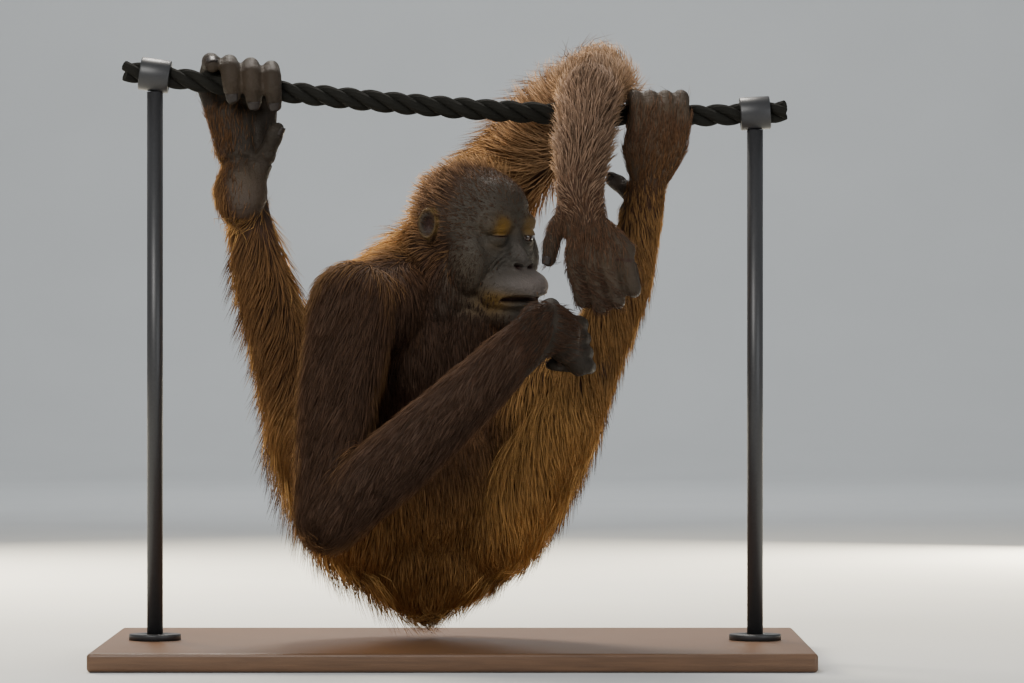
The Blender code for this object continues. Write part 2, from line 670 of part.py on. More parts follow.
def make_stand(nodes, helpers):
    """A flat base with two rods, each ending in a collar that the rope passes through."""
    bm = bmesh.new()
    bmesh.ops.create_cube(bm, size=1.0)
    bmesh.ops.scale(bm, vec=BASE_SIZE, verts=bm.verts)
    bmesh.ops.translate(bm, vec=(0, 0, BASE_SIZE[2] / 2), verts=bm.verts)
    base = object_from("stand_base", bm, nodes)
    rounding = base.modifiers.new("rounded edges", "BEVEL")
    rounding.width = BASE_ROUNDING
    rounding.segments = 2
    for side, name in ((-1, "left"), (1, "right")):
        x = side * ROD_X
        centre = Vector((x, 0, rope_height(x)))
        slope = (rope_height(x + 0.01) - rope_height(x - 0.01)) / 0.02
        along = Vector((1, 0, slope)).normalized()
        collar = cylinder("stand_collar_" + name, centre - along * COLLAR_LENGTH / 2,
                          centre + along * COLLAR_LENGTH / 2, COLLAR_RADIUS, nodes)
        bore = cylinder("bore", centre - along * COLLAR_LENGTH, centre + along * COLLAR_LENGTH,
                        ROPE_RADIUS + GAP, nodes)
        combine(collar, [bore], "DIFFERENCE")
        foot = cylinder("stand_flange_" + name, (x, 0, BASE_SIZE[2] + GAP),
                        (x, 0, BASE_SIZE[2] + GAP + FLANGE_HEIGHT), FLANGE_RADIUS, nodes)
        rod = cylinder("stand_rod_" + name, (x, 0, BASE_SIZE[2] + 2 * GAP), centre, ROD_RADIUS, nodes)
        clear = cylinder("clear", centre - along * COLLAR_LENGTH, centre + along * COLLAR_LENGTH,
                         COLLAR_RADIUS + GAP, nodes)
        combine(rod, [clear], "DIFFERENCE")
        hole = cylinder("hole", (x, 0, 0.010), (x, 0, 0.050), ROD_RADIUS + GAP, nodes)
        combine(foot, [hole], "DIFFERENCE")
    return base


def make_flesh(nodes, helpers):
    """Every fleshy node, each clear of its neighbours by the gap."""
    head, neck, eyes, ears = make_head(nodes, helpers)
    foot_r, toes_r = make_foot_r(nodes, helpers)
    foot_l, toes_l = make_foot_l(nodes, helpers)
    hand_r, fingers_r = make_hand_r(nodes, helpers)
    hand_l, fingers_l = make_hand_l(nodes, helpers)
    arm_r = flesh("upper_arm_right", arm_r_masses(), BODY_VOXEL, 4, 360, nodes)
    arm_l = flesh("upper_arm_left", arm_l_masses(), BODY_VOXEL * 0.75, 3, 400, nodes)
    leg_r = flesh("thigh_right", leg_r_masses(), BODY_VOXEL, 4, 340, nodes)
    leg_l = flesh("thigh_left", leg_l_masses(), BODY_VOXEL, 4, 340, nodes)
    torso = flesh("torso", trunk_masses(), BODY_VOXEL, 6, 520, nodes)
    make_room(arm_r, [hand_r], helpers)
    make_room(arm_l, [hand_l], helpers)
    make_room(leg_r, [foot_r], helpers)
    make_room(leg_l, [foot_l, leg_r], helpers)
    make_room(arm_l, [fingers_l[-1]], helpers)
    make_room(neck, [arm_l, arm_r], helpers)
    make_room(torso, [head, neck, arm_r, arm_l, leg_r, leg_l], helpers)
    halved(arm_r, "forearm_right", ELBOW_R, bend_plane(SHOULDER_R, ELBOW_R, WRIST_R), nodes)
    halved(arm_l, "forearm_left", ELBOW_L + Vector((-0.002, -0.008, 0)),
           bend_plane(SHOULDER_L, ELBOW_L, WRIST_L), nodes)
    halved(leg_r, "shin_right", KNEE_R, bend_plane(HIP_R, KNEE_R, ANKLE_R), nodes)
    halved(leg_l, "shin_left", KNEE_L, bend_plane(HIP_L, KNEE_L, ANKLE_L), nodes)


def lie_of(name, place):
    """The way the hair lies at a place of a node, and how strongly it turns out from the skin."""
    down = Vector((0, 0, -1))
    if name == "head":
        local = head_frame().inverted() @ place
        back = Vector((-1.0, 0.35 * math.copysign(1, local.y), 0.25 if local.z > 0 else -0.9))
        return head_frame().to_3x3() @ back, 0.25
    if name == "forearm_left":
        outward = Vector((1.0 if place.x > 0.134 else -1.0, -0.3, 0.25))
        return (ELBOW_L - WRIST_L).normalized() + outward * 0.45, 0.12
    if name == "upper_arm_left":
        return Vector((-0.60, 0.35, 0.15)), 0.25
    if name == "forearm_right":
        return (ELBOW_R - WRIST_R).normalized() + down * 0.7, 0.10
    if name == "upper_arm_right":
        return (ELBOW_R - SHOULDER_R).normalized() + Vector((-0.35, 0.15, 0)), 0.10
    if name in ("thigh_right", "shin_right"):
        return down + Vector((-0.35, 0.10, 0)), 0.15
    if name in ("thigh_left", "shin_left"):
        return down + Vector((0.35, 0.10, 0)), 0.15
    return down + Vector((0.0, 0.25, 0)), 0.10


def grows_hair(name, place):
    """Whether a node carries long hair at a place: not on the face, wrists, ankles or under the rump."""
    if name == "head":
        local = head_frame().inverted() @ place
        crown = local.z > 0.014 and local.x < 0.030
        rear = local.x < -0.018 and local.z > -0.060 and abs(local.y) < 0.075
        ear = (local - Vector((EAR_PLACE.x, math.copysign(EAR_PLACE.y, local.y), EAR_PLACE.z))).length < 0.024
        return (crown or rear) and not ear
    if name == "torso":
        return place.z > 0.056
    return True


class Body:
    """All the flesh as one surface, which the locks are laid along, with a guard round each node."""

    def __init__(self, flesh_nodes, others, helpers):
        corners, faces, self.owner = [], [], []
        for obj in flesh_nodes:
            obj.data.calc_loop_triangles()
            first = len(corners)
            corners += [v.co.copy() for v in obj.data.vertices]
            faces += [[first + i for i in t.vertices] for t in obj.data.loop_triangles]
            self.owner += [obj.name] * len(obj.data.loop_triangles)
        self.tree = BVHTree.FromPolygons(corners, faces)
        self.guards = {}
        for obj in list(flesh_nodes) + list(others):
            wide = swollen(obj, GUARD_GROWTH, helpers)
            self.guards[obj.name] = tree_of(wide)
            remove(wide)
        self.locks = []

    def nearest(self, place):
        point, normal, face, _ = self.tree.find_nearest(place)
        return point, normal, self.owner[face]

    def open_above(self, point, normal, room):
        return self.tree.ray_cast(point + normal * 0.0015, normal, room)[0] is None

    def is_clear(self, name, tree):
        return not (any(guard.overlap(tree) for node, guard in self.guards.items() if node != name)
                    or any(other.overlap(tree) for node, other in self.locks if node != name))


def scatter(obj, spacing, rng, body):
    """Roots spread evenly over the hairy part of obj's surface, where nothing lies close above it."""
    mesh = obj.data
    mesh.calc_loop_triangles()
    triangles = [[mesh.vertices[i].co.copy() for i in t.vertices] for t in mesh.loop_triangles]
    areas = [(b - a).cross(c - a).length / 2 for a, b, c in triangles]
    tries = int(sum(areas) / spacing ** 2 * ROOT_TRIES)
    roots = []
    for a, b, c in rng.choices(triangles, weights=areas, k=tries):
        u, v = rng.random(), rng.random()
        if u + v > 1:
            u, v = 1 - u, 1 - v
        place = a + (b - a) * u + (c - a) * v
        normal = (b - a).cross(c - a).normalized()
        if (all((place - other).length > spacing for other, _ in roots) and grows_hair(obj.name, place)
                and body.open_above(place, normal, HEADROOM)):
            roots.append((place, normal))
    return roots


def stray(rng):
    """A hair's breadth either way, so that no two locks share a corner."""
    return Vector([rng.uniform(-STRAY, STRAY) for _ in range(3)])


def lock(name, root, normal, body, size, length, scale, rng):
    """A flat tapered lock: it starts sunk in the flesh, follows it along the lie, and lifts towards its tip."""
    lie, stand = lie_of(name, root)
    sway = Vector([rng.uniform(-SWAY, SWAY) for _ in range(3)])
    place, step_from = root, 0.0
    direction = (lie.normalized() + sway + normal * stand)
    direction = (direction - normal * direction.dot(normal)).normalized()
    bm = bmesh.new()
    rows = []
    for share, breadth, rise in LOCK_ROWS:
        if share:
            place = place + direction * length * (share - step_from)
            found, normal, _ = body.nearest(place)
            drift = (place - found).length
            place = found
            flow = lie_of(name, place)[0].normalized() + sway
            turned = direction * 0.5 + flow * 0.5
            turned -= normal * turned.dot(normal)
            if turned.length > 0.1:
                direction = turned.normalized()
            if drift > length:
                normal = rows[-1][3]
        step_from = share
        owner = body.nearest(place)[2]
        clear = NODE_CLEAR if owner != name else 0.0
        height = (size["lift"] + stand * length) * rise * scale + clear - (SUNK if not share else 0)
        side = normal.cross(direction).normalized()
        half = size["width"] / 2 * breadth * scale
        thick = size["thickness"] * (1.0 if share < 0.7 else 0.6)
        centre = place + normal * height
        edges = []
        for way in (1, -1):
            raw = place + side * half * way
            found, edge_normal, edge_owner = body.nearest(raw)
            if (found - raw).length > half * 0.9:
                found, edge_normal = raw, normal
            edge_clear = NODE_CLEAR if edge_owner != name else 0.0
            low = -SUNK if not share else EDGE_LIFT + height * 0.5
            edges.append(found + edge_normal * (low + edge_clear))
        rows.append((edges[0], centre + normal * thick, edges[1], normal))
    tip = place + direction * length * (1 - step_from)
    found, tip_normal, _ = body.nearest(tip)
    over = (tip - found).dot(tip_normal)
    tip_rise = (size["lift"] + stand * length) * scale
    tip = (found if abs(over) < TIP_REACH else tip) + normal * tip_rise
    corners = [[bm.verts.new(p + stray(rng)) for p in row[:3]] for row in rows]
    point = bm.verts.new(tip)
    bm.faces.new(corners[0])
    for low, high in zip(corners, corners[1:]):
        for i in range(3):
            bm.faces.new((low[i], low[(i + 1) % 3], high[(i + 1) % 3], high[i]))
    for i in range(3):
        bm.faces.new((corners[-1][i], corners[-1][(i + 1) % 3], point))
    bmesh.ops.recalc_face_normals(bm, faces=bm.faces)
    bmesh.ops.triangulate(bm, faces=bm.faces)
    return bm


def crosses_itself(bm, tree):
    """Whether two faces that share no corner meet, as in a lock folded over a sharp bend."""
    bm.faces.ensure_lookup_table()
    return any(not set(bm.faces[a].verts) & set(bm.faces[b].verts) for a, b in tree.overlap(tree))


def grow_locks(obj, body, helpers, rng):
    """The locks of one node, each clear of every other node and shortened where it has to be."""
    size = LOCKS[obj.name]
    grown, trees = [], []
    for root, normal in scatter(obj, size["spacing"], rng, body):
        length = size["length"] * rng.uniform(0.85, 1.15)
        for share in LOCK_SHARES:
            bm = lock(obj.name, root, normal, body, size, length * share, min(1.0, share + 0.2), rng)
            tree = BVHTree.FromBMesh(bm)
            if not crosses_itself(bm, tree) and body.is_clear(obj.name, tree):
                trees.append((obj.name, tree))
                grown.append(object_from("lock", bm, helpers))
                break
            bm.free()
    return grown, trees


def add_coat(obj, body, helpers, seed):
    """Fuses the locks of one node with it and thins the mesh; where it touches itself, other locks are tried."""
    bare = obj.data
    for draw in range(COAT_DRAWS):
        obj.data = bare.copy()
        grown, trees = grow_locks(obj, body, helpers, random.Random(seed + len(LOCKS) * draw))
        combine(obj, grown, "UNION")
        if not is_sound(obj):
            continue
        fused = obj.data
        for kept in COAT_KEPT:
            obj.data = fused.copy()
            if is_sound(decimate_to(obj, len(fused.polygons) * kept)):
                body.locks += trees
                return
    raise ValueError(obj.name + ": its surface touches itself")


def paint(obj):
    """Gives obj a material of its own."""
    name, colour, roughness, metallic = next(made for starts, made in SURFACES if obj.name.startswith(starts))
    obj.data.materials.clear()
    obj.data.materials.append(new_material(obj.name + ": " + name, colour, roughness, metallic))


def main():
    clear_scene()
    nodes = new_collection("orangutan on a rope")
    helpers = new_collection("cutters", helper=True)
    rope = make_rope(nodes)
    make_stand(nodes, helpers)
    make_flesh(nodes, helpers)
    for obj in nodes.objects:
        if obj.name.startswith(("toe", "foot", "forearm_left", "upper_arm_left")):
            make_room(obj, [rope], helpers)
    fleshy = [obj for obj in nodes.objects if not obj.name.startswith(("stand", "perch"))]
    others = [obj for obj in nodes.objects if obj.name.startswith(("stand", "perch"))]
    body = Body(fleshy, others, helpers)
    for seed, name in enumerate(LOCKS):
        add_coat(bpy.data.objects[name], body, helpers, seed)
    for obj in nodes.objects:
        paint(obj)


main()
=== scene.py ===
"""The looks of a life-size young orangutan that hangs by both feet and one arm from a cut length of rope.

Metres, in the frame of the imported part: +Z up, +X to the right and -Y towards the viewer.
One skin takes the place of the fleshy nodes, and the coat grows from it as thin solid tufts.
"""

import json
import math

import bmesh
import bpy
import numpy as np
from mathutils import Matrix, Vector, noise
from mathutils.bvhtree import BVHTree

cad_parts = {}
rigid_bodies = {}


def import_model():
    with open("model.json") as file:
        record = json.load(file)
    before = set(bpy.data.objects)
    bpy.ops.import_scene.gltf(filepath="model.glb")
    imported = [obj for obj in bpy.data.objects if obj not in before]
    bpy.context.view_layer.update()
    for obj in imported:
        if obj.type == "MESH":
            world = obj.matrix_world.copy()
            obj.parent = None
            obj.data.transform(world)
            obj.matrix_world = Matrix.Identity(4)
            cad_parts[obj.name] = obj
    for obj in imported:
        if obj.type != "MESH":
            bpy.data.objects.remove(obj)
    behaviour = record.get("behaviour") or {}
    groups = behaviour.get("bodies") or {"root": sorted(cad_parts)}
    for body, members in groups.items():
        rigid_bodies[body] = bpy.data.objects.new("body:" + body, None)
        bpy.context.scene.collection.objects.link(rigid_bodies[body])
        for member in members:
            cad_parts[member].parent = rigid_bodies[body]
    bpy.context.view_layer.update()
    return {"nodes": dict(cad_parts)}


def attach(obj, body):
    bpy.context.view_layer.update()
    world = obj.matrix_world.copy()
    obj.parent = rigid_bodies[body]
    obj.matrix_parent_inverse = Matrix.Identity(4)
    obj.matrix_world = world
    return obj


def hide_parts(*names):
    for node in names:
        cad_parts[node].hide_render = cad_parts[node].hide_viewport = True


# Camera
CAMERA_PLACE = (0.057, -5.0, 0.3165)
CAMERA_LENS = 175.78
SENSOR_WIDTH = 36.0

# Stand and rope, as in the part
BASE_SIZE = (0.700, 0.440, 0.018)
BASE_EDGE = 0.0035
METAL_EDGE = 0.0012
ROD_RADIUS = 0.008
ROD_X = 0.300
FLANGE_RADIUS = 0.026
FLANGE_HEIGHT = 0.006
COLLAR_RADIUS = 0.0165
COLLAR_LENGTH = 0.030
FIT = 0.0003
ROPE_RADIUS = 0.0112
ROPE_LAY = 0.069
ROPE_STRANDS = 3
ROPE_YARNS = 9
YARN_SWELL = 0.045
ROPE_STEPS = 260
ROPE_END_X = 0.330
ROPE_SAG = ((-0.330, 0.587), (-0.255, 0.577), (-0.135, 0.562), (0.005, 0.550), (0.071, 0.546),
            (0.185, 0.542), (0.237, 0.542), (0.330, 0.547))

# Joints, as in the part
HIP_R = Vector((-0.056, 0.045, 0.104))
KNEE_R = Vector((-0.148, -0.022, 0.236))
ANKLE_R = Vector((-0.206, 0.024, 0.447))
HIP_L = Vector((0.008, 0.045, 0.102))
KNEE_L = Vector((0.109, -0.022, 0.240))
ANKLE_L = Vector((0.185, -0.016, 0.436))
SHOULDER_R = Vector((-0.099, -0.046, 0.352))
ELBOW_R = Vector((-0.120, -0.136, 0.148))
WRIST_R = Vector((0.088, -0.150, 0.330))
SHOULDER_L = Vector((0.020, 0.122, 0.452))
ELBOW_L = Vector((0.147, 0.030, 0.579))
WRIST_L = Vector((0.123, -0.136, 0.464))
HEAD_CENTRE = Vector((0.0225, 0.010, 0.438))
HEAD_YAW = math.radians(-43)
HEAD_PITCH = math.radians(9)
HEAD_ROLL = math.radians(3)

# In the head's own frame, where X is the way the face looks, Y its left and Z its crown
HEAD_REACH = 0.118
FACE_REACH = 0.14
EYE_RADIUS = 0.0098
EYE_PLACE = Vector((0.0462, 0.0200, -0.0105))
EAR_PLACE = Vector((-0.014, 0.0565, -0.003))
EAR_LEAN = math.radians(-28)
EAR_REACH = 0.024
LID_THICKNESS = 0.0017
# By side, left (1) half open and right (-1) shut: heights of the lids' edges over the eye's middle,
# upper first, and how ochre the upper lid is
LID_EDGES = {1: (0.0024, -0.0034), -1: (0.0034, 0.0027)}
LID_OCHRE = {1: 0.55, -1: 0.95}

# Skin
SKIN_VOXEL = 0.0019
SKIN_TRIANGLES = 192000
# Share of the triangles that is kept where the coat hides the skin
HIDDEN_SHARE = 0.14
# How far the skin lies inside the part's solids under long hair
CORE = 0.005

# Nails
NAIL_ROWS = 7
NAIL_COLUMNS = 9
NAIL_LENGTH = 0.0085
NAIL_DEPTH = 0.0011

# Coat: draws are the roots tried, of which the bare places keep none
SEED = 11
GROUND_TRIANGLES = 60000
PATCH = 0.003
COAT_DRAWS = 97000
COAT_PIECES = 8
COAT_WIDTHS = (0.00075, 0.00130)
COAT_SHARES = (0.0, 0.34, 0.70)
COAT_BREADTHS = (0.70, 1.0, 0.72)
DOWN_DRAWS = 260000
DOWN_WIDTHS = (0.00036, 0.00062)
DOWN_SHARES = (0.0, 0.5)
DOWN_BREADTHS = (1.0, 0.85)


def rope_height(x):
    """Height of the rope's centre line, smooth through its measured sag."""
    fit = np.polyfit([p[0] for p in ROPE_SAG], [p[1] for p in ROPE_SAG], 4)
    return float(np.polyval(fit, x))


def head_frame():
    """Places the head's own frame."""
    turn = (Matrix.Rotation(HEAD_YAW, 4, "Z") @ Matrix.Rotation(HEAD_PITCH, 4, "Y")
            @ Matrix.Rotation(HEAD_ROLL, 4, "X"))
    return Matrix.Translation(HEAD_CENTRE) @ turn


def in_head(points):
    """Points in the head's own frame."""
    turn = np.array(head_frame().to_3x3())
    return (points - np.array(HEAD_CENTRE)) @ turn


def out_of_head(points):
    turn = np.array(head_frame().to_3x3())
    return points @ turn.T + np.array(HEAD_CENTRE)


def mirrored(place, side):
    """A place on the head's left (1), or its twin on the right (-1)."""
    return Vector((place.x, side * place.y, place.z))


def in_ear(local, side):
    """Points of the head's frame in an ear's own frame, and that frame's turn."""
    lean = np.array(Matrix.Rotation(side * EAR_LEAN, 3, "Z"))
    return (local - np.array(mirrored(EAR_PLACE, side))) @ lean, lean


def lid_gap(side):
    """Height of the middle of the gap between an eye's lids."""
    return EYE_PLACE.z + sum(LID_EDGES[side]) / 2


# Building blocks
def object_from(name, bm):
    mesh = bpy.data.meshes.new(name)
    bm.to_mesh(mesh)
    bm.free()
    made = bpy.data.objects.new(name, mesh)
    bpy.context.scene.collection.objects.link(made)
    return made


def settle(obj):
    """Applies the modifiers of obj."""
    graph = bpy.context.evaluated_depsgraph_get()
    mesh = bpy.data.meshes.new_from_object(obj.evaluated_get(graph))
    obj.modifiers.clear()
    obj.data = mesh
    return obj


def remove(obj):
    bpy.data.objects.remove(obj)


def smooth_faces(obj):
    obj.data.polygons.foreach_set("use_smooth", [True] * len(obj.data.polygons))
    obj.data.update()


def vertices_of(obj):
    places = np.empty(len(obj.data.vertices) * 3)
    obj.data.vertices.foreach_get("co", places)
    return places.reshape(-1, 3)


def set_vertices(obj, places):
    obj.data.vertices.foreach_set("co", places.ravel())
    obj.data.update()


def ball(centre, radii, turn=Matrix.Identity(3), rings=10, around=20):
    """Points over an ellipsoid, enough for its convex hull."""
    points = []
    for i in range(rings + 1):
        polar = math.pi * i / rings
        for j in range(around if 0 < i < rings else 1):
            angle = 2 * math.pi * j / around
            local = Vector((math.sin(polar) * math.cos(angle) * radii[0],
                            math.sin(polar) * math.sin(angle) * radii[1],
                            math.cos(polar) * radii[2]))
            points.append(Vector(centre) + turn @ local)
    return points


def taper(start, start_radius, end, end_radius):
    """One limb mass: the hull round two balls."""
    return ball(start, (start_radius,) * 3) + ball(end, (end_radius,) * 3)


def chain(*joints):
    """Masses through (point, radius) joints."""
    return [taper(a, ra, b, rb) for (a, ra), (b, rb) in zip(joints, joints[1:])]


def limb(*joints):
    """Masses through joints of a point, a radius and, where it isn't all, the share of the core's depth."""
    return chain(*((point, radius - CORE * (share[0] if share else 1)) for point, radius, *share in joints))


def inner(*radii):
    """Radii less the core's depth."""
    return [radius - CORE for radius in radii]


def add_hull(bm, points):
    verts = [bm.verts.new(p) for p in points]
    made = bmesh.ops.convex_hull(bm, input=verts)
    inside = [v for v in made["geom_interior"] if isinstance(v, bmesh.types.BMVert)]
    bmesh.ops.delete(bm, geom=inside, context="VERTS")


def combine(obj, others, operation):
    """Joins the others to obj, or cuts them from it, and removes them."""
    for other in others:
        boolean = obj.modifiers.new(operation.lower(), "BOOLEAN")
        boolean.operation = operation
        boolean.object = other
        boolean.solver = "MANIFOLD"
        settle(obj)
        remove(other)
    return obj


# The masses of the body, as in the part but for the depth of the coat
def trunk_masses():
    return [
        ball((-0.024, 0.046, 0.104), inner(0.074, 0.060, 0.052)),
        *limb(((-0.028, 0.040, 0.085), 0.042), ((-0.026, 0.032, 0.064), 0.022)),
        ball((-0.026, 0.032, 0.185), inner(0.090, 0.080, 0.095)),
        ball((-0.044, 0.036, 0.290), inner(0.086, 0.082, 0.092)),
        ball((-0.070, 0.062, 0.345), inner(0.066, 0.056, 0.058)),
        *limb(((-0.080, -0.020, 0.345), 0.050), ((-0.002, 0.112, 0.412), 0.036)),
        *limb(((-0.066, 0.066, 0.355), 0.052), ((-0.046, 0.068, 0.385), 0.044)),
        *limb(((-0.040, 0.072, 0.345), 0.052), ((-0.014, 0.092, 0.390), 0.042)),
        *limb(((-0.040, 0.045, 0.350), 0.056), ((-0.002, 0.034, 0.412), 0.052)),
        *limb(((-0.020, 0.015, 0.340), 0.044), ((0.012, 0.008, 0.390), 0.040)),
        taper((0.030, 0.022, 0.222), 0.035, (0.104, -0.012, 0.284), 0.026),
        taper((-0.012, 0.010, 0.292), 0.042, (0.026, 0.006, 0.342), 0.032),
    ]


def arm_masses():
    right = limb((SHOULDER_R, 0.047), ((-0.114, -0.092, 0.262), 0.040), (ELBOW_R, 0.035),
                 ((-0.050, -0.142, 0.206), 0.0365), ((0.030, -0.148, 0.278), 0.030, 0.8),
                 (WRIST_R, 0.0255, 0.4))
    left = limb((SHOULDER_L, 0.044), ((0.090, 0.072, 0.524), 0.036), (ELBOW_L, 0.027, 0.6))
    left.append(ball((0.138, -0.004, 0.5795), (*inner(0.034, 0.036), 0.0200 - CORE * 0.6)))
    left += limb(((0.140, 0.014, 0.580), 0.0205, 0.6), ((0.134, -0.047, 0.563), 0.029),
                 ((0.127, -0.100, 0.513), 0.027, 0.8), (WRIST_L, 0.0225, 0.3))
    return right + left


def leg_masses():
    right = limb((HIP_R.lerp(KNEE_R, 0.25), 0.053), ((-0.106, 0.012, 0.168), 0.048), (KNEE_R, 0.036))
    right += limb((KNEE_R, 0.035), ((-0.166, -0.006, 0.300), 0.031), ((-0.194, 0.014, 0.390), 0.0245, 0.7),
                  (ANKLE_R, 0.0205, 0.2))
    left = limb((HIP_L.lerp(KNEE_L, 0.25), 0.052), ((0.062, 0.012, 0.168), 0.047), (KNEE_L, 0.036))
    left += limb((KNEE_L, 0.035), ((0.138, -0.020, 0.305), 0.030), ((0.170, -0.017, 0.378), 0.0245, 0.7),
                 (ANKLE_L, 0.0205, 0.2))
    return right + left


def head_masses():
    masses = [
        ball((-0.006, 0, 0.004), (0.058, 0.053, 0.050)),
        ball((0.018, 0, 0.013), (0.037, 0.039, 0.035)),
        taper((0.045, -0.027, 0.003), 0.0115, (0.044, 0.0245, 0.003), 0.0098),
        ball((0.028, 0, -0.030), (0.034, 0.045, 0.042)),
        ball((0.050, 0, -0.0615), (0.036, 0.036, 0.0265)),
        ball((0.063, 0, -0.0555), (0.030, 0.031, 0.0175)),
        ball((0.050, 0, -0.086), (0.027, 0.027, 0.018)),
        ball((-0.006, 0, -0.055), (0.033, 0.035, 0.035)),
        taper((0.052, 0, -0.008), 0.0078, (0.0618, 0, -0.0310), 0.0088),
    ]
    for side in (-1, 1):
        masses += [
            ball((0.026, side * 0.034, -0.036), (0.024, 0.020, 0.034)),
            taper((0.0, side * 0.030, -0.062), 0.021, (0.042, side * 0.012, -0.086), 0.014),
            ball((0.0652, side * 0.0085, -0.0352), (0.0068, 0.0080, 0.0056)),
            ball((0.0478 - side * 0.0014, side * 0.0205, -0.0008), (0.0094 - side * 0.0004, 0.0120, 0.0066)),
            ball((0.0440, side * 0.0220, -0.0195), (0.0112, 0.0135, 0.0070)),
        ]
    for side in (-1, 1):
        lean = Matrix.Rotation(side * EAR_LEAN, 3, "Z")
        centre = mirrored(EAR_PLACE, side)
        lobe = centre + lean @ Vector((0.002, side * -0.003, -0.013))
        masses += [ball(centre, (0.0105, 0.0070, 0.0165), lean), ball(lobe, (0.005, 0.006, 0.006), lean)]
    place = head_frame()
    return [[place @ p for p in points] for points in masses]


# Hands and feet: each digit is a row of points with a radius at each
def digit(points, radii):
    """A digit's centre line from root to tip, and its radius at each point."""
    return [Vector(point) for point in points], list(radii)


def hook(x, start_deg, end_deg, radius, slant=0.0, steps=7):
    """Points round the rope, from behind it (0) over its top (90) to its front (180), slanting along it."""
    reach = ROPE_RADIUS + radius + 6 * FIT
    points = []
    for i in range(steps):
        share = i / (steps - 1)
        angle = math.radians(start_deg + (end_deg - start_deg) * share)
        along = x + slant * (share - 0.5)
        points.append(Vector((along, reach * math.cos(angle), rope_height(along) + reach * math.sin(angle))))
    return points


# Swelling of a digit at its joints, from root to tip
TOE_SWELL = (1.14, 1.05, 0.97, 1.08, 0.95, 1.06, 0.98, 0.86)


def right_toes():
    toes = []
    long_toes = ((-0.1835, 222, 0.0090), (-0.2040, 224, 0.0094),
                 (-0.2255, 212, 0.0094), (-0.2460, 128, 0.0088))
    for i, (x, end, radius) in enumerate(long_toes):
        root = (x - 0.006 + 0.004 * i, 0.024, rope_height(x) - 0.032)
        toes.append(digit([root] + hook(x, -16, end, radius, 0.008), [radius * swell for swell in TOE_SWELL]))
    toes.append(digit(((-0.199, 0.004, 0.484), (-0.189, -0.002, 0.502), (-0.184, -0.006, 0.512),
                       (-0.1805, -0.009, 0.5215), (-0.1775, -0.010, 0.528)),
                      (0.0125, 0.0100, 0.0086, 0.0092, 0.0078)))
    return toes


def left_toes():
    toes = []
    radius = 0.0073
    for x in (0.2255, 0.2100, 0.1945, 0.1790):
        root = (x - 0.004, -0.026, rope_height(x) - 0.034)
        swelling = [radius * swell for swell in TOE_SWELL]
        toes.append(digit([root] + hook(x, 192, -30, radius, -0.004), swelling))
    toes.append(digit(((0.184, 0.004, 0.458), (0.173, 0.014, 0.468), (0.168, 0.019, 0.4715),
                       (0.164, 0.024, 0.4755), (0.158, 0.028, 0.479)),
                      (0.0110, 0.0095, 0.0080, 0.0088, 0.0074)))
    return toes


def left_fingers():
    knuckles = ((0.1185, -0.144, 0.386), (0.1350, -0.147, 0.383),
                (0.1515, -0.147, 0.387), (0.1675, -0.143, 0.395))
    bends = ((0.1255, -0.145, 0.358), (0.1425, -0.149, 0.353),
             (0.1590, -0.147, 0.357), (0.1745, -0.142, 0.368))
    curl = ((0.001, 0.013, -0.002), (0.000, 0.023, 0.008), (-0.001, 0.025, 0.022))
    fingers = []
    for knuckle, bend in zip(knuckles, bends):
        root, turn = Vector(knuckle), Vector(bend)
        line = [root + Vector((0, 0, 0.010)), root, root.lerp(turn, 0.55), turn]
        line += [turn + Vector(step) for step in curl]
        fingers.append(digit(line, (0.0080, 0.0088, 0.0075, 0.0082, 0.0074, 0.0075, 0.0062)))
    fingers.append(digit(((0.109, -0.134, 0.437), (0.1005, -0.132, 0.426), (0.0975, -0.1315, 0.418),
                          (0.0955, -0.131, 0.412), (0.0930, -0.129, 0.396)),
                         (0.0105, 0.0098, 0.0082, 0.0088, 0.0070)))
    return fingers


def right_fingers():
    curl = ((-0.007, -0.002, -0.001), (0, 0, 0), (0.003, 0.010, -0.001), (0.003, 0.020, -0.001),
            (-0.010, 0.033, 0.000), (-0.024, 0.031, 0.001), (-0.032, 0.020, 0.001))
    fingers = []
    for i in range(4):
        root = Vector((0.124, -0.120, 0.3345)) + Vector((0.0025 * i - 0.002, 0.001 * i, -0.0140 * i))
        line = [root + Vector(step) for step in curl]
        fingers.append(digit(line, (0.0074, 0.0080, 0.0069, 0.0075, 0.0070, 0.0068, 0.0060)))
    fingers.append(digit(((0.096, -0.130, 0.344), (0.095, -0.112, 0.350), (0.092, -0.098, 0.350),
                          (0.088, -0.086, 0.347)), (0.0105, 0.0095, 0.0085, 0.0072)))
    return fingers


def fan(heart, heart_radius, digits, root_radius):
    """Masses that spread from the heart of a hand or foot to the roots of its long digits."""
    return [taper(heart, heart_radius, points[0], root_radius) for points, _ in digits[:4]]


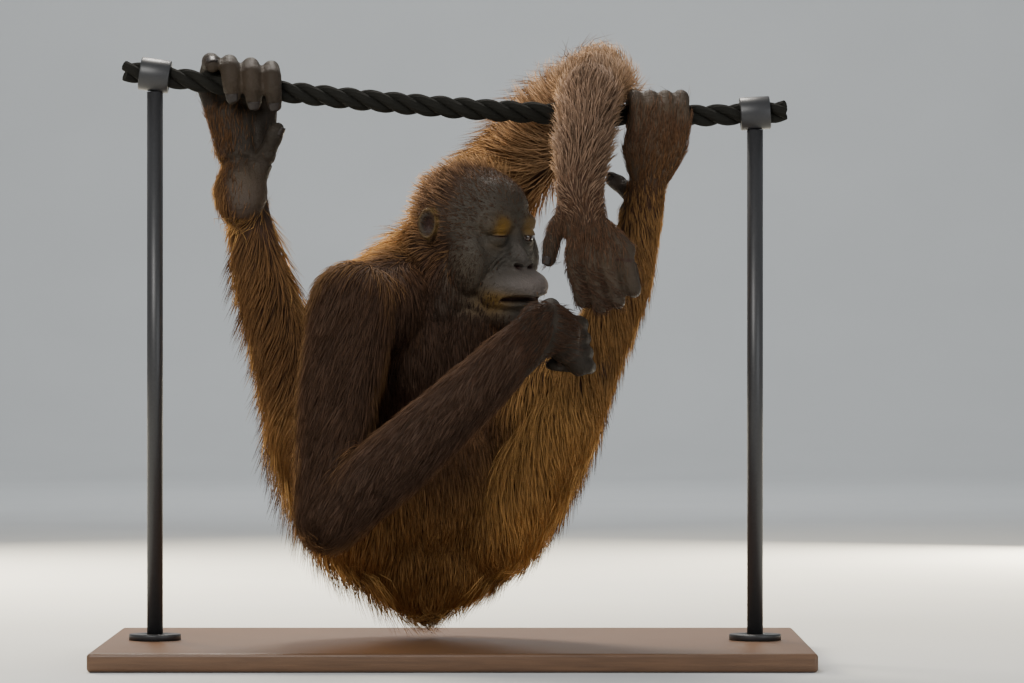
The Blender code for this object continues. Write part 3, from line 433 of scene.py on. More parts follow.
def hand_and_foot_masses():
    toes_r, toes_l, fingers_l, fingers_r = right_toes(), left_toes(), left_fingers(), right_fingers()
    heel = ball((-0.2130, -0.001, 0.4665), (0.0262, 0.0225, 0.0310))
    instep = ball((-0.2180, 0.005, 0.5060), (0.0205, 0.0150, 0.0130))
    masses = [
        heel,
        taper((-0.2130, 0.006, 0.470), 0.0180, (-0.2180, 0.007, 0.506), 0.0150),
        instep + ball((-0.2255, 0.013, 0.5430), (0.0235, 0.0120, 0.0110)),
        taper((-0.2020, 0.010, 0.500), 0.0125, (-0.1945, 0.018, 0.540), 0.0100),
        taper(ANKLE_R + Vector((0, 0.000, -0.004)), 0.0200, (-0.211, 0.014, 0.490), 0.0190),
        taper((-0.2030, 0.000, 0.474), 0.0140, (-0.1960, 0.001, 0.494), 0.0125),
        *fan((-0.214, 0.014, 0.496), 0.0150, toes_r, 0.0092),
        *chain((ANKLE_L, 0.0205), ((0.190, -0.020, 0.466), 0.0185), ((0.197, -0.023, 0.490), 0.0160)),
        taper(ANKLE_L, 0.0185, (0.180, 0.006, 0.444), 0.0165),
        taper((0.180, 0.002, 0.450), 0.0130, (0.196, -0.012, 0.485), 0.0130),
        *fan((0.192, -0.021, 0.470), 0.0150, toes_l, 0.0086),
        *chain((WRIST_L, 0.0220), ((0.130, -0.141, 0.430), 0.0190), ((0.140, -0.142, 0.405), 0.0140)),
        taper((0.112, -0.136, 0.442), 0.0130, (0.126, -0.141, 0.410), 0.0130),
        *fan((0.127, -0.141, 0.438), 0.0145, fingers_l, 0.0100),
        taper(WRIST_R, 0.0250, (0.104, -0.138, 0.325), 0.0200),
        taper((0.102, -0.138, 0.334), 0.0170, (0.108, -0.134, 0.310), 0.0150),
        *fan((0.098, -0.141, 0.327), 0.0150, fingers_r, 0.0095),
    ]
    for points, radii in toes_r + toes_l + fingers_l + fingers_r:
        masses += chain(*zip(points, radii))
    return masses


# Sculpting of the head
def soft(points, centre, radii):
    """A soft weight at each point, 1 at the centre and fading over the radii."""
    return np.exp(-(((points - np.array(centre)) / np.array(radii)) ** 2).sum(axis=1))


def ridge(distance, width):
    """1 where the distance is nothing, fading over the width."""
    return np.exp(-(distance / width) ** 2)


def slope(value, middle, width):
    """0 below the middle and 1 above it, with a soft step between."""
    return 1 / (1 + np.exp(np.clip((middle - value) / width, -40, 40)))


def waves(distance, pitch):
    """Even ripples between 0 and 1."""
    return 0.5 + 0.5 * np.cos(2 * math.pi * distance / pitch)


def mouth_line(local):
    """Height of the mouth's line at each point of the head's frame."""
    return -0.0668 - 0.10 * np.abs(local[:, 1])


def sculpt_head(local):
    """Moves the head's points, in its own frame, into sockets, nose, lips, ears and folds."""
    made = local.copy()
    front = slope(local[:, 0], 0.030, 0.004)
    for side in (-1, 1):
        socket = soft(local, (0.060, side * 0.0205, -0.0125), (0.014, 0.0135, 0.0100))
        made[:, 0] -= 0.0030 * socket
        from_eye = np.hypot((local[:, 1] - side * 0.0200) / 1.20, local[:, 2] + 0.0105)
        groove = ridge(from_eye - 0.0150, 0.0028) * slope(-local[:, 2], 0.0120, 0.0020)
        fold = ridge(from_eye - 0.0185, 0.0022) * slope(local[:, 2], -0.0060, 0.0020)
        made[:, 0] += front * (0.0008 * fold - 0.0013 * groove)
        hollow = soft(local, (0.062, side * 0.026, -0.036), (0.010, 0.007, 0.008))
        made[:, 0] -= 0.0022 * hollow
        out = local - np.array((0.0692, side * 0.0086, -0.0368))
        slanted = np.stack([out[:, 0], out[:, 1] * 0.91 + side * out[:, 2] * 0.42,
                            out[:, 2] * 0.91 - side * out[:, 1] * 0.42], 1)
        nostril = soft(slanted, (0, 0, 0), (0.009, 0.0052, 0.0022))
        rim = soft(slanted, (0, side * 0.001, 0.0036), (0.009, 0.0070, 0.0018))
        made[:, 0] += front * (0.0010 * rim - 0.0075 * nostril)
        ear, lean = in_ear(local, side)
        cup = np.exp(-((ear[:, 0] - 0.001) / 0.0060) ** 2 - (ear[:, 2] / 0.0105) ** 2)
        helix = ridge(np.hypot(ear[:, 0] / 0.0085, ear[:, 2] / 0.0140) - 1, 0.14)
        inner_fold = ridge(np.hypot((ear[:, 0] + 0.001) / 0.0048, ear[:, 2] / 0.0085) - 1, 0.16)
        inner_fold = inner_fold * (ear[:, 0] < 0.002)
        near = (np.linalg.norm(ear, axis=1) < EAR_REACH) & (ear[:, 1] * side > 0.0005)
        depth = near * (0.0085 * cup - 0.0026 * helix - 0.0020 * inner_fold)
        made -= depth[:, None] * (lean @ np.array((0, side, 0)))[None, :]
    bridge = soft(local, (0.060, 0.0, -0.0140), (0.010, 0.010, 0.010))
    made[:, 0] -= 0.0030 * bridge
    over = local[:, 2] - mouth_line(local)
    reach = 1 - slope(np.abs(local[:, 1]), 0.0265, 0.0015)
    ahead = slope(local[:, 0], 0.045, 0.003) * reach
    parting = 0.0024 + 0.0012 * ridge(np.abs(local[:, 1]) - 0.019, 0.008)
    made[:, 0] -= 0.0100 * ridge(over, parting) * ahead
    made[:, 0] += 0.0019 * (ridge(over - 0.0056, 0.0028) + ridge(over + 0.0058, 0.0032)) * ahead
    return made


def crease_head(local):
    """Depth of the fine folds round the eyes, the nose and the lips at each point of the head's frame."""
    depth = np.zeros(len(local))
    for side in (-1, 1):
        out = local[:, 1:] - np.array((side * 0.0200, -0.0105))
        ring = np.hypot(out[:, 0] / 1.15, out[:, 1])
        below = slope(-out[:, 1], 0.002, 0.002)
        above = slope(out[:, 1], 0.003, 0.002)
        depth += 0.00050 * (ridge(ring - 0.0180, 0.0055) * below) * waves(ring, 0.0034)
        depth += 0.00035 * ridge(ring - 0.0155, 0.0035) * above * waves(ring, 0.0026)
        nose = np.hypot(local[:, 1] - side * 0.004, (local[:, 2] + 0.052) * 0.9)
        beside = ridge(nose - 0.0255, 0.0045) * slope(local[:, 2], -0.047, 0.003)
        beside *= slope(side * local[:, 1], 0.010, 0.002)
        depth += 0.0011 * beside * waves(nose, 0.0042) ** 2
    over = local[:, 2] - mouth_line(local)
    lips = ridge(over, 0.010) * slope(local[:, 0], 0.060, 0.004)
    depth += 0.00025 * lips * waves(local[:, 1], 0.0023)
    brow = ridge(local[:, 2] - 0.014, 0.009)
    depth += 0.00020 * brow * waves(local[:, 2] + 0.10 * np.abs(local[:, 1]), 0.0045)
    return depth * slope(local[:, 0], 0.035, 0.004)


def crease_sole(points):
    """Depth of the creases across the near foot's sole at each point."""
    x, y, z = points.T
    sole = slope(-y, -0.006, 0.003) * (np.hypot(x + 0.212, z - 0.492) < 0.075)
    across = x + 0.2125
    depth = 0.0022 * ridge(z - 0.5000 + 7.0 * across ** 2, 0.0016)
    depth += 0.0022 * ridge(z - 0.4370 - 9.0 * across ** 2, 0.0020)
    depth += 0.0006 * ridge(z - 0.4470 - 14.0 * across ** 2, 0.0010)
    depth += 0.0009 * waves(across + 0.12 * (z - 0.52), 0.0115) ** 3 * slope(z, 0.506, 0.003)
    depth += 0.0010 * ridge(np.hypot(x + 0.186, z - 0.488) - 0.0175, 0.0012) * slope(z, 0.478, 0.003)
    return depth * sole


def lid(centre, way, edge, rings=14, around=40):
    """Points of a cap over the eyeball, from above (1) or below (-1) it to the lid's edge."""
    radius = EYE_RADIUS + LID_THICKNESS
    reach = math.acos(way * edge / radius)
    points = [centre + Vector((0, 0, way * radius))]
    for i in range(1, rings + 1):
        polar = reach * i / rings
        for j in range(around):
            angle = 2 * math.pi * j / around
            points.append(centre + radius * Vector((math.sin(polar) * math.cos(angle),
                                                    math.sin(polar) * math.sin(angle),
                                                    way * math.cos(polar))))
    return points


def add_lids(skin):
    """Fuses the lids with the skin and hollows it round each eyeball."""
    lids, hollows = [], []
    for side in (1, -1):
        centre = mirrored(EYE_PLACE, side)
        for way, edge in zip((1, -1), LID_EDGES[side]):
            bm = bmesh.new()
            add_hull(bm, lid(centre, way, edge))
            bmesh.ops.transform(bm, matrix=head_frame(), verts=bm.verts)
            bmesh.ops.recalc_face_normals(bm, faces=bm.faces)
            lids.append(object_from("lid", bm))
        bm = bmesh.new()
        bmesh.ops.create_uvsphere(bm, u_segments=48, v_segments=32, radius=EYE_RADIUS + FIT / 2,
                                  matrix=head_frame() @ Matrix.Translation(centre))
        hollows.append(object_from("hollow", bm))
    combine(skin, lids, "UNION")
    return combine(skin, hollows, "DIFFERENCE")


def make_skin():
    """One closed skin over the whole animal."""
    masses = trunk_masses() + arm_masses() + leg_masses() + head_masses() + hand_and_foot_masses()
    bm = bmesh.new()
    for points in masses:
        add_hull(bm, points)
    skin = object_from("skin", bm)
    remesh = skin.modifiers.new("fuse", "REMESH")
    remesh.mode = "VOXEL"
    remesh.voxel_size = SKIN_VOXEL
    even = skin.modifiers.new("soften", "SMOOTH")
    even.factor = 0.5
    even.iterations = 5
    settle(skin)
    refine_face(skin)
    places = vertices_of(skin)
    local = in_head(places)
    near = np.linalg.norm(local + np.array((0, 0, 0.03)), axis=1) < FACE_REACH
    places[near] = out_of_head(sculpt_head(local[near]))
    set_vertices(skin, places)
    add_lids(skin)
    press_folds(skin)
    return thin_out(skin)


def refine_face(skin):
    """Halves the grain of the mesh over the face."""
    bm = bmesh.new()
    bm.from_mesh(skin.data)
    back = head_frame().inverted()
    edges = set()
    for face in bm.faces:
        local = back @ face.calc_center_median()
        if local.x > 0.028 and abs(local.y) < 0.042 and -0.090 < local.z < 0.026:
            edges.update(face.edges)
    bmesh.ops.subdivide_edges(bm, edges=list(edges), cuts=1, use_grid_fill=True)
    bmesh.ops.triangulate(bm, faces=bm.faces)
    bm.to_mesh(skin.data)
    bm.free()


def press_folds(skin):
    """Presses the fine folds of the face in, along its normals."""
    places = vertices_of(skin)
    normals = np.empty(len(places) * 3)
    skin.data.vertices.foreach_get("normal", normals)
    local = in_head(places)
    depth = crease_head(local) * (np.linalg.norm(local, axis=1) < FACE_REACH) + crease_sole(places)
    set_vertices(skin, places - normals.reshape(-1, 3) * depth[:, None])


def thinned(obj, values, triangles):
    """Thins obj to a count of triangles, first where the values are high."""
    group = obj.vertex_groups.new(name="first")
    for level in range(1, 11):
        chosen = np.nonzero(np.round(values * 10) == level)[0].tolist()
        if chosen:
            group.add(chosen, level / 10, "REPLACE")
    obj.data.calc_loop_triangles()
    cut = obj.modifiers.new("thin out", "DECIMATE")
    cut.ratio = min(1.0, triangles / len(obj.data.loop_triangles))
    cut.vertex_group = "first"
    cut.vertex_group_factor = 3.0
    cut.use_collapse_triangulate = True
    settle(obj)
    obj.vertex_groups.clear()
    return obj


def thin_out(skin):
    """Thins the mesh where the coat hides it, then all but the face where it is flat."""
    cover = coat_at(vertices_of(skin))["density"]
    skin.data.calc_loop_triangles()
    bare = (cover < 0.5).mean() * len(skin.data.loop_triangles)
    thinned(skin, cover, bare + HIDDEN_SHARE * (len(skin.data.loop_triangles) - bare))
    beyond = np.linalg.norm(in_head(vertices_of(skin)) + np.array((-0.03, 0, 0.03)), axis=1)
    thinned(skin, slope(beyond, 0.080, 0.002), SKIN_TRIANGLES)
    smooth_faces(skin)
    return skin


# The coat's zones, each round a line: its ends, the radius of the flesh, the way the hair lies, its looks.
# lift: height of the tips; gold: share of golden tips, mostly shown as a painted rim glow; dark: share of a
# darker shade, partly darker hair and partly painted shade; ash: share of a painted greyish sky sheen; front:
# how much of the painted golden glow also shows on the side towards the viewer; stand: how far the hair
# stands up on that side too
ZONE_LOOKS = ("length", "lift", "gold", "dark", "ash", "front", "stand")
ZONES = {
    "crown": ((-0.010, 0.004, 0.455), (0.010, 0.010, 0.450), 0.045, (-0.75, 0.55, 0.45),
              (0.029, 0.019, 0.55, 0.35, 0.25, 0.30, 0.0)),
    "jaw": ((0.020, 0.010, 0.385), (0.050, -0.015, 0.360), 0.030, (-0.40, 0.25, -0.90),
            (0.030, 0.008, 0.50, 0.50, 0.0, 0.30, 0.0)),
    "nape": ((-0.045, 0.040, 0.420), (-0.030, 0.050, 0.390), 0.040, (-0.55, 0.25, -0.60),
             (0.042, 0.018, 0.85, 0.15, 0.0, 0.45, 0.0)),
    "chest": ((-0.020, -0.020, 0.250), (-0.020, 0.000, 0.330), 0.060, (0.05, 0.0, -1.0),
              (0.038, 0.007, 0.15, 0.85, 0.0, 0.0, 0.0)),
    "back": ((-0.055, 0.070, 0.200), (-0.070, 0.080, 0.350), 0.070, (-0.35, 0.3, -1.0),
             (0.064, 0.028, 1.0, 0.10, 0.0, 0.0, 0.0)),
    "belly": ((-0.026, 0.010, 0.120), (-0.026, 0.000, 0.210), 0.070, (0.0, 0.0, -1.0),
              (0.046, 0.010, 0.90, 0.38, 0.0, 0.42, 0.0)),
    "rump": ((-0.024, 0.050, 0.080), (-0.024, 0.060, 0.140), 0.050, (0.0, 0.20, -1.0),
             (0.050, 0.015, 1.0, 0.08, 0.0, 0.90, 0.0)),
    "upper arm right": (SHOULDER_R, ELBOW_R, 0.036, (-0.42, -0.35, -0.92),
                        (0.046, 0.009, 0.25, 0.80, 0.0, 0.0, 0.0)),
    "forearm right": (ELBOW_R, WRIST_R, 0.028, (-0.75, 0.02, -1.15),
                      (0.034, 0.006, 0.10, 0.80, 0.15, 0.0, 0.0)),
    "upper arm left": (SHOULDER_L, (0.075, 0.082, 0.510), 0.034, (-0.60, 0.35, 0.15),
                       (0.056, 0.022, 0.75, 0.40, 0.0, 0.30, 0.0)),
    "above elbow left": ((0.088, 0.072, 0.525), (0.128, 0.045, 0.568), 0.032, (-0.42, 0.30, 0.62),
                         (0.054, 0.032, 0.55, 0.20, 0.45, 0.70, 1.0)),
    "elbow left": ((0.145, 0.035, 0.580), (0.140, -0.010, 0.580), 0.028, (0.06, 0.48, 0.50),
                   (0.042, 0.017, 0.60, 0.14, 0.65, 0.75, 1.0)),
    "forearm left": ((0.136, -0.035, 0.560), WRIST_L, 0.025, (0.05, 0.55, 0.45),
                     (0.038, 0.014, 0.45, 0.34, 0.62, 0.50, 0.0)),
    "thigh right": (HIP_R, KNEE_R, 0.045, (-0.40, 0.10, -1.0), (0.066, 0.032, 1.0, 0.20, 0.0, 0.40, 0.0)),
    "shin right": (KNEE_R, ANKLE_R, 0.024, (-0.36, 0.12, -0.95), (0.052, 0.021, 1.0, 0.40, 0.0, 0.20, 0.0)),
    "thigh left": (HIP_L, KNEE_L, 0.044, (0.16, 0.10, -1.0), (0.060, 0.017, 1.0, 0.08, 0.0, 0.88, 0.0)),
    "knee left": ((0.080, -0.012, 0.215), KNEE_L, 0.038, (0.16, 0.10, -1.0),
                  (0.054, 0.015, 1.0, 0.36, 0.0, 0.34, 0.0)),
    "shin left": (KNEE_L, ANKLE_L, 0.024, (0.16, 0.12, -0.95), (0.048, 0.011, 1.0, 0.36, 0.0, 0.36, 0.0)),
}
ZONE_BLUR = 0.012
# Where the coat runs out: wrist or ankle, the way on to the digits, how far the coat goes on, the hairier
# side, how much further it goes on there, and the reach of the short hair on that side
LIMB_ENDS = (
    (WRIST_R, (0.55, 0.25, -0.15), 0.008, (0.1, -1.0, 0.2), 0.036, 0.072),
    (WRIST_L, (0.10, -0.05, -1.0), 0.002, (-0.1, -1.0, 0.0), 0.030, 0.066),
    (ANKLE_R, (0.0, 0.0, 1.0), -0.008, (-1.0, 0.45, 0.0), 0.080, 0.100),
    (ANKLE_L, (0.10, 0.0, 1.0), 0.006, (0.5, -0.8, 0.0), 0.036, 0.105),
)


def off_line(points, start, end):
    """Distance of each point from the line between two joints."""
    start, end = np.array(start), np.array(end)
    along = np.clip((points - start) @ (end - start) / ((end - start) @ (end - start)), 0, 1)
    return np.linalg.norm(points - start - along[:, None] * (end - start), axis=1)


def in_skull(local, ahead, reach):
    """1 inside an upright egg round the head and 0 outside it."""
    return slope(reach - np.linalg.norm(local * (1, 1, 0.80) + (-ahead, 0, 0.02), axis=1), 0.0, 0.003)


def coat_at(points):
    """What the coat is at each point: how dense, long and high it is, its lie, and its shades."""
    weights = []
    for start, end, radius, _, _ in ZONES.values():
        beyond = off_line(points, start, end) - radius
        weights.append(np.exp(-np.clip(beyond, -0.01, 0.5) / ZONE_BLUR))
    weights = np.array(weights)
    weights /= weights.sum(axis=0)
    flows = np.array([zone[3] for zone in ZONES.values()])
    made = {}
    for i, key in enumerate(ZONE_LOOKS):
        made[key] = np.array([zone[4][i] for zone in ZONES.values()]) @ weights
    made["flow"] = (weights[:, :, None] * flows[:, None, :]).sum(axis=0)
    local = in_head(points)
    on_head = in_skull(local, 0.015, 0.091)
    hairline = slope(-local[:, 0], -0.005, 0.0035)
    crown = slope(local[:, 2] - 0.30 * local[:, 0], 0.036, 0.003) * slope(-local[:, 0], -0.016, 0.004)
    jaw = slope(-local[:, 0], -0.024, 0.006) * slope(-local[:, 2], 0.040, 0.006)
    throat = slope(-local[:, 2], 0.092, 0.004) * slope(-local[:, 0], -0.062, 0.005)
    hairy = np.clip(np.maximum.reduce([hairline, crown * 0.6, jaw * 0.5, throat]), 0, 1)
    ear = np.zeros(len(points))
    for side in (-1, 1):
        ear = np.maximum(ear, soft(local, mirrored(EAR_PLACE, side), (0.016, 0.012, 0.020)))
    density = 1 - on_head * (1 - hairy * (1 - np.clip(ear * 1.8, 0, 1)))
    made["length"] = made["length"] * (1 - 0.45 * on_head)
    off_hook = off_line(points, (0.138, 0.020, 0.5795), (0.134, -0.047, 0.563)) > 0.038
    for joint, way, reach, hairier, more, _ in LIMB_ENDS:
        way = np.array(way) / np.linalg.norm(way)
        out = points - np.array(joint)
        past = out @ way
        aside = out - past[:, None] * way
        hairy_side = slope(aside @ (np.array(hairier) / np.linalg.norm(hairier)), 0.003, 0.004)
        close = (np.linalg.norm(out, axis=1) < 0.19) & (np.linalg.norm(aside, axis=1) < 0.075)
        if joint is ANKLE_L:
            close &= off_hook
        density *= 1 - slope(past - more * hairy_side, reach, 0.006) * close
        shorter = 1 - 0.70 * slope(past, -0.004, 0.008) * close
        made["length"] *= shorter
        made["lift"] *= shorter
    made["length"] *= 0.35 + 0.65 * density
    made["density"] = density
    return made


class Ground:
    """A lighter copy of the skin that the tufts are laid along, with the unwrap that their colours use."""

    def __init__(self, skin):
        copy = skin.copy()
        copy.data = skin.data.copy()
        copy.name = "ground"
        bpy.context.scene.collection.objects.link(copy)
        cut = copy.modifiers.new("thin out", "DECIMATE")
        cut.ratio = GROUND_TRIANGLES / len(copy.data.polygons)
        cut.use_collapse_triangulate = True
        settle(copy)
        for other in bpy.context.view_layer.objects:
            other.select_set(other == copy)
        bpy.context.view_layer.objects.active = copy
        bpy.ops.object.mode_set(mode="EDIT")
        bpy.ops.mesh.select_all(action="SELECT")
        bpy.ops.uv.smart_project(angle_limit=math.radians(66), island_margin=0.002)
        bpy.ops.object.mode_set(mode="OBJECT")
        mesh = copy.data
        self.corners = vertices_of(copy)
        self.faces = np.empty(len(mesh.polygons) * 3, np.int32)
        mesh.loops.foreach_get("vertex_index", self.faces)
        self.faces = self.faces.reshape(-1, 3)
        uv = np.empty(len(mesh.loops) * 2)
        mesh.uv_layers.active.data.foreach_get("uv", uv)
        self.uv = uv.reshape(-1, 3, 2)
        self.tree = BVHTree.FromPolygons(self.corners.tolist(), self.faces.tolist())
        triangles = self.corners[self.faces]
        self.crossed = np.cross(triangles[:, 1] - triangles[:, 0], triangles[:, 2] - triangles[:, 0])
        self.areas = np.linalg.norm(self.crossed, axis=1) / 2
        remove(copy)

    def scatter(self, count, density, rng):
        """Roots spread over the surface, kept with the chance that density gives."""
        chosen = rng.choice(len(self.faces), size=count, p=self.areas / self.areas.sum())
        u, v = rng.random(count), rng.random(count)
        flip = u + v > 1
        u[flip], v[flip] = 1 - u[flip], 1 - v[flip]
        mix = np.stack([1 - u - v, u, v], axis=1)
        places = (self.corners[self.faces[chosen]] * mix[:, :, None]).sum(axis=1)
        patches = (self.uv[chosen] * mix[:, :, None]).sum(axis=1)
        normals = unit(self.crossed[chosen])
        kept = rng.random(count) < density(places)
        return places[kept], normals[kept], patches[kept]

    def nearest(self, points):
        found, normals = np.empty_like(points), np.empty_like(points)
        for i, point in enumerate(points.tolist()):
            found[i], normals[i] = self.tree.find_nearest(point)[:2]
        return found, normals


def unit(vectors):
    return vectors / np.maximum(np.linalg.norm(vectors, axis=1), 1e-9)[:, None]


def along_surface(directions, normals):
    return unit(directions - normals * (directions * normals).sum(axis=1)[:, None])


def tuft_mesh(name, rows, tips, widths, shares, breadths, patches, looks):
    """One mesh of closed tapered tufts of three sides: rows are their centre lines, ring by ring."""
    count, rings = len(tips), len(rows)
    verts = np.empty((count, rings * 3 + 1, 3))
    for k, (centre, side, normal) in enumerate(rows):
        half = (widths * breadths[k] / 2)[:, None]
        verts[:, 3 * k] = centre - side * half
        verts[:, 3 * k + 1] = centre + side * half
        verts[:, 3 * k + 2] = centre + normal * half * 1.1
    verts[:, -1] = tips
    faces = [(0, 2, 1)]
    for k in range(rings - 1):
        for i in range(3):
            a, b = 3 * k + i, 3 * k + (i + 1) % 3
            faces += [(a, b, b + 3), (a, b + 3, a + 3)]
    last = 3 * (rings - 1)
    faces += [(last + i, last + (i + 1) % 3, rings * 3) for i in range(3)]
    faces = np.array(faces)
    per = rings * 3 + 1
    corners = (faces[None] + (np.arange(count) * per)[:, None, None]).reshape(-1)
    mesh = bpy.data.meshes.new(name)
    mesh.vertices.add(count * per)
    mesh.vertices.foreach_set("co", verts.ravel())
    mesh.loops.add(len(corners))
    mesh.loops.foreach_set("vertex_index", corners)
    mesh.polygons.add(len(corners) // 3)
    mesh.polygons.foreach_set("loop_start", np.arange(0, len(corners), 3))
    mesh.polygons.foreach_set("use_smooth", np.ones(len(corners) // 3, bool))
    heights = np.append(np.repeat(shares, 3), 1.0)
    across = np.append(np.tile((0.0, 1.0, 0.5), rings), 0.5)
    local = np.stack([0.10 + 0.80 * across, 0.10 + 0.80 * heights], axis=1) * PATCH
    cells = np.floor(patches / PATCH) * PATCH
    places = (cells[:, None, :] + local[None]).reshape(-1, 2)
    layer = mesh.uv_layers.new(name="OFBake")
    layer.data.foreach_set("uv", places[corners].ravel())
    values = {"along": np.tile(heights, count)}
    values.update({key: np.repeat(value, per) for key, value in looks.items()})
    for key, value in values.items():
        mesh.attributes.new(key, "FLOAT", "POINT").data.foreach_set("value", value)
    mesh.update()
    mesh.validate()
    made = bpy.data.objects.new(name, mesh)
    bpy.context.scene.collection.objects.link(made)
    return made


def clump_at(points, scale, seed):
    """The same small turn for all hairs of a clump."""
    shift = Vector((seed, 0.37 * seed, 0))
    return np.array([noise.noise_vector(Vector(p) * scale + shift) for p in points.tolist()])


def grow_coat(ground, rng):
    """The long coat, in pieces from the rump up."""
    places, normals, patches = ground.scatter(COAT_DRAWS, lambda p: coat_at(p)["density"], rng)
    order = np.argsort(places[:, 2] + 0.4 * places[:, 0])
    places, normals, patches = places[order], normals[order], patches[order]
    total = len(places)
    coat = coat_at(places)
    length = coat["length"] * rng.uniform(0.70, 1.15, total)
    sway = clump_at(places, 50, 3.0) * 0.30 + clump_at(places, 150, 9.0) * 0.15
    sway = sway + rng.uniform(-0.15, 0.15, (total, 3))
    facing = normals[:, 1]
    outward = np.maximum(np.clip(0.62 + 0.75 * facing, 0.10, 1.0), coat["stand"])
    lift = coat["lift"] * (0.45 + 0.65 * outward) * rng.uniform(0.25, 1.30, total)
    curve = rng.uniform(-0.10, 0.10, total) * length
    rows, centre, normal, last = [], places, normals, 0.0
    for share in COAT_SHARES + (1.0,):
        flow = along_surface(unit(coat_at(centre)["flow"]) + sway, normal)
        if share:
            flow = along_surface(flow + heading, normal)
            centre = centre + flow * (length * (share - last))[:, None]
            centre, facing_out = ground.nearest(centre)
            normal = unit(normal + facing_out * 1.5)
            last = share
        heading = flow
        side = np.cross(normal, flow)
        height = lift * share ** 1.3 - 0.0010 * (share == 0)
        place = centre + normal * height[:, None] + side * (curve * share ** 2)[:, None]
        place[:, 2] -= 0.10 * length * share ** 2
        rows.append((place, side, normal))
    tips = rows.pop()[0]
    widths = rng.uniform(*COAT_WIDTHS, total) * (0.55 + 0.45 * coat["density"])
    # Painted rim light: the golden tips glow where the hair turns edge-on to the viewer, and on the viewer's
    # side as far as the zone's front says
    behind = slope(facing, 0.35, 0.10)
    painted_rim_glow = np.maximum(np.exp(-((facing - 0.05) / 0.42) ** 2), coat["front"] * (1 - behind))
    # Painted shade: the darker shade grows on the side towards the viewer; hair facing away is darker too and
    # keeps little of the painted sky sheen
    dark = np.clip(coat["dark"] * (1.15 - 0.70 * np.maximum(outward, coat["front"])), 0, 1)
    looks = {"gold": coat["gold"] * np.maximum(painted_rim_glow, 0.14), "dark": np.maximum(dark, 0.60 * behind),
             "ash": coat["ash"] * (1 - 0.8 * behind), "shade": rng.random(total)}
    made = []
    bounds = np.linspace(0, total, COAT_PIECES + 1).astype(int)
    for i, (low, high) in enumerate(zip(bounds, bounds[1:])):
        pick = slice(low, high)
        picked = [tuple(part[pick] for part in row) for row in rows]
        made.append(tuft_mesh(f"coat_{i + 1}", picked, tips[pick], widths[pick], COAT_SHARES, COAT_BREADTHS,
                              patches[pick], {key: value[pick] for key, value in looks.items()}))
    return made


def down_at(points):
    """How densely short hair stands on the face, the hands and the feet at each point."""
    local = in_head(points)
    on_head = in_skull(local, 0.020, 0.085)
    eyes = np.zeros(len(points))
    for side in (-1, 1):
        eyes = np.maximum(eyes, soft(local, (0.055, side * 0.0205, -0.010), (0.030, 0.017, 0.015)))
    muzzle = soft(local, (0.085, 0, -0.050), (0.030, 0.032, 0.026))
    face = 0.14 + 0.50 * slope(-local[:, 0], -0.036, 0.006) + 0.60 * slope(-local[:, 2], 0.082, 0.004)
    face += 0.25 * slope(local[:, 2], 0.030, 0.006)
    face *= (1 - np.clip(1.9 * eyes, 0, 1)) * (1 - np.clip(3.2 * muzzle, 0, 1))
    beyond = np.zeros(len(points))
    for joint, _, _, hairier, _, reach in LIMB_ENDS:
        out = points - np.array(joint)
        away = out @ (np.array(hairier) / np.linalg.norm(hairier))
        close = slope(-np.linalg.norm(out, axis=1), -reach, 0.006)
        beyond = np.maximum(beyond, slope(away, 0.004, 0.006) * close)
    return np.clip(on_head * face + (1 - on_head) * beyond, 0, 1) * (1 - 0.6 * coat_at(points)["density"])


def down_lie(places, flow, off_head):
    """The lie of the short hair: the coat's on head and limbs, and on to the digits past their ends."""
    joints = np.array([end[0] for end in LIMB_ENDS])
    ways = np.array([end[1] for end in LIMB_ENDS])
    out = places[:, None] - joints
    nearest = np.linalg.norm(out, axis=2).argmin(axis=1)
    past = (out[np.arange(len(places)), nearest] * ways[nearest]).sum(axis=1)
    return np.where((off_head & (past > 0))[:, None], ways[nearest], flow)


def grow_down(ground, rng):
    """The short hair that lies on the face, the hands and the feet."""
    places, normals, patches = ground.scatter(DOWN_DRAWS, down_at, rng)
    total = len(places)
    coat = coat_at(places)
    sway = clump_at(places, 120, 5.0) * 0.30 + rng.uniform(-0.16, 0.16, (total, 3))
    local = in_head(places)
    on_head = np.linalg.norm(local, axis=1) < 0.13
    length = 0.0050 + 0.0055 * slope(-local[:, 2], 0.060, 0.010) * on_head + 0.0060 * ~on_head
    length *= rng.uniform(0.7, 1.3, total)
    flow = along_surface(unit(down_lie(places, coat["flow"], ~on_head)) + sway, normals)
    side = np.cross(normals, flow)
    lift = rng.uniform(0.0008, 0.0026, total) * np.where(on_head, 0.5, 1.0)
    root = places - normals * 0.0005
    middle = places + flow * (length * 0.5)[:, None] + normals * (lift * 0.75)[:, None]
    tips = places + flow * length[:, None] + normals * lift[:, None]
    # The short hair keeps a little of the painted golden glow and painted sky sheen, and is darker on the
    # head
    dark = np.where(on_head, coat["dark"] + 0.35, coat["dark"] * 0.95)
    looks = {"gold": coat["gold"] * 0.12, "dark": np.clip(dark, 0, 1), "ash": coat["ash"] * 0.3,
             "shade": rng.random(total)}
    return tuft_mesh("down", [(root, side, normals), (middle, side, normals)], tips,
                     rng.uniform(*DOWN_WIDTHS, total), DOWN_SHARES, DOWN_BREADTHS, patches, looks)


# Materials
def new_material(name):
    made = bpy.data.materials.new(name)
    made.use_nodes = True
    return made, made.node_tree, made.node_tree.nodes["Principled BSDF"]


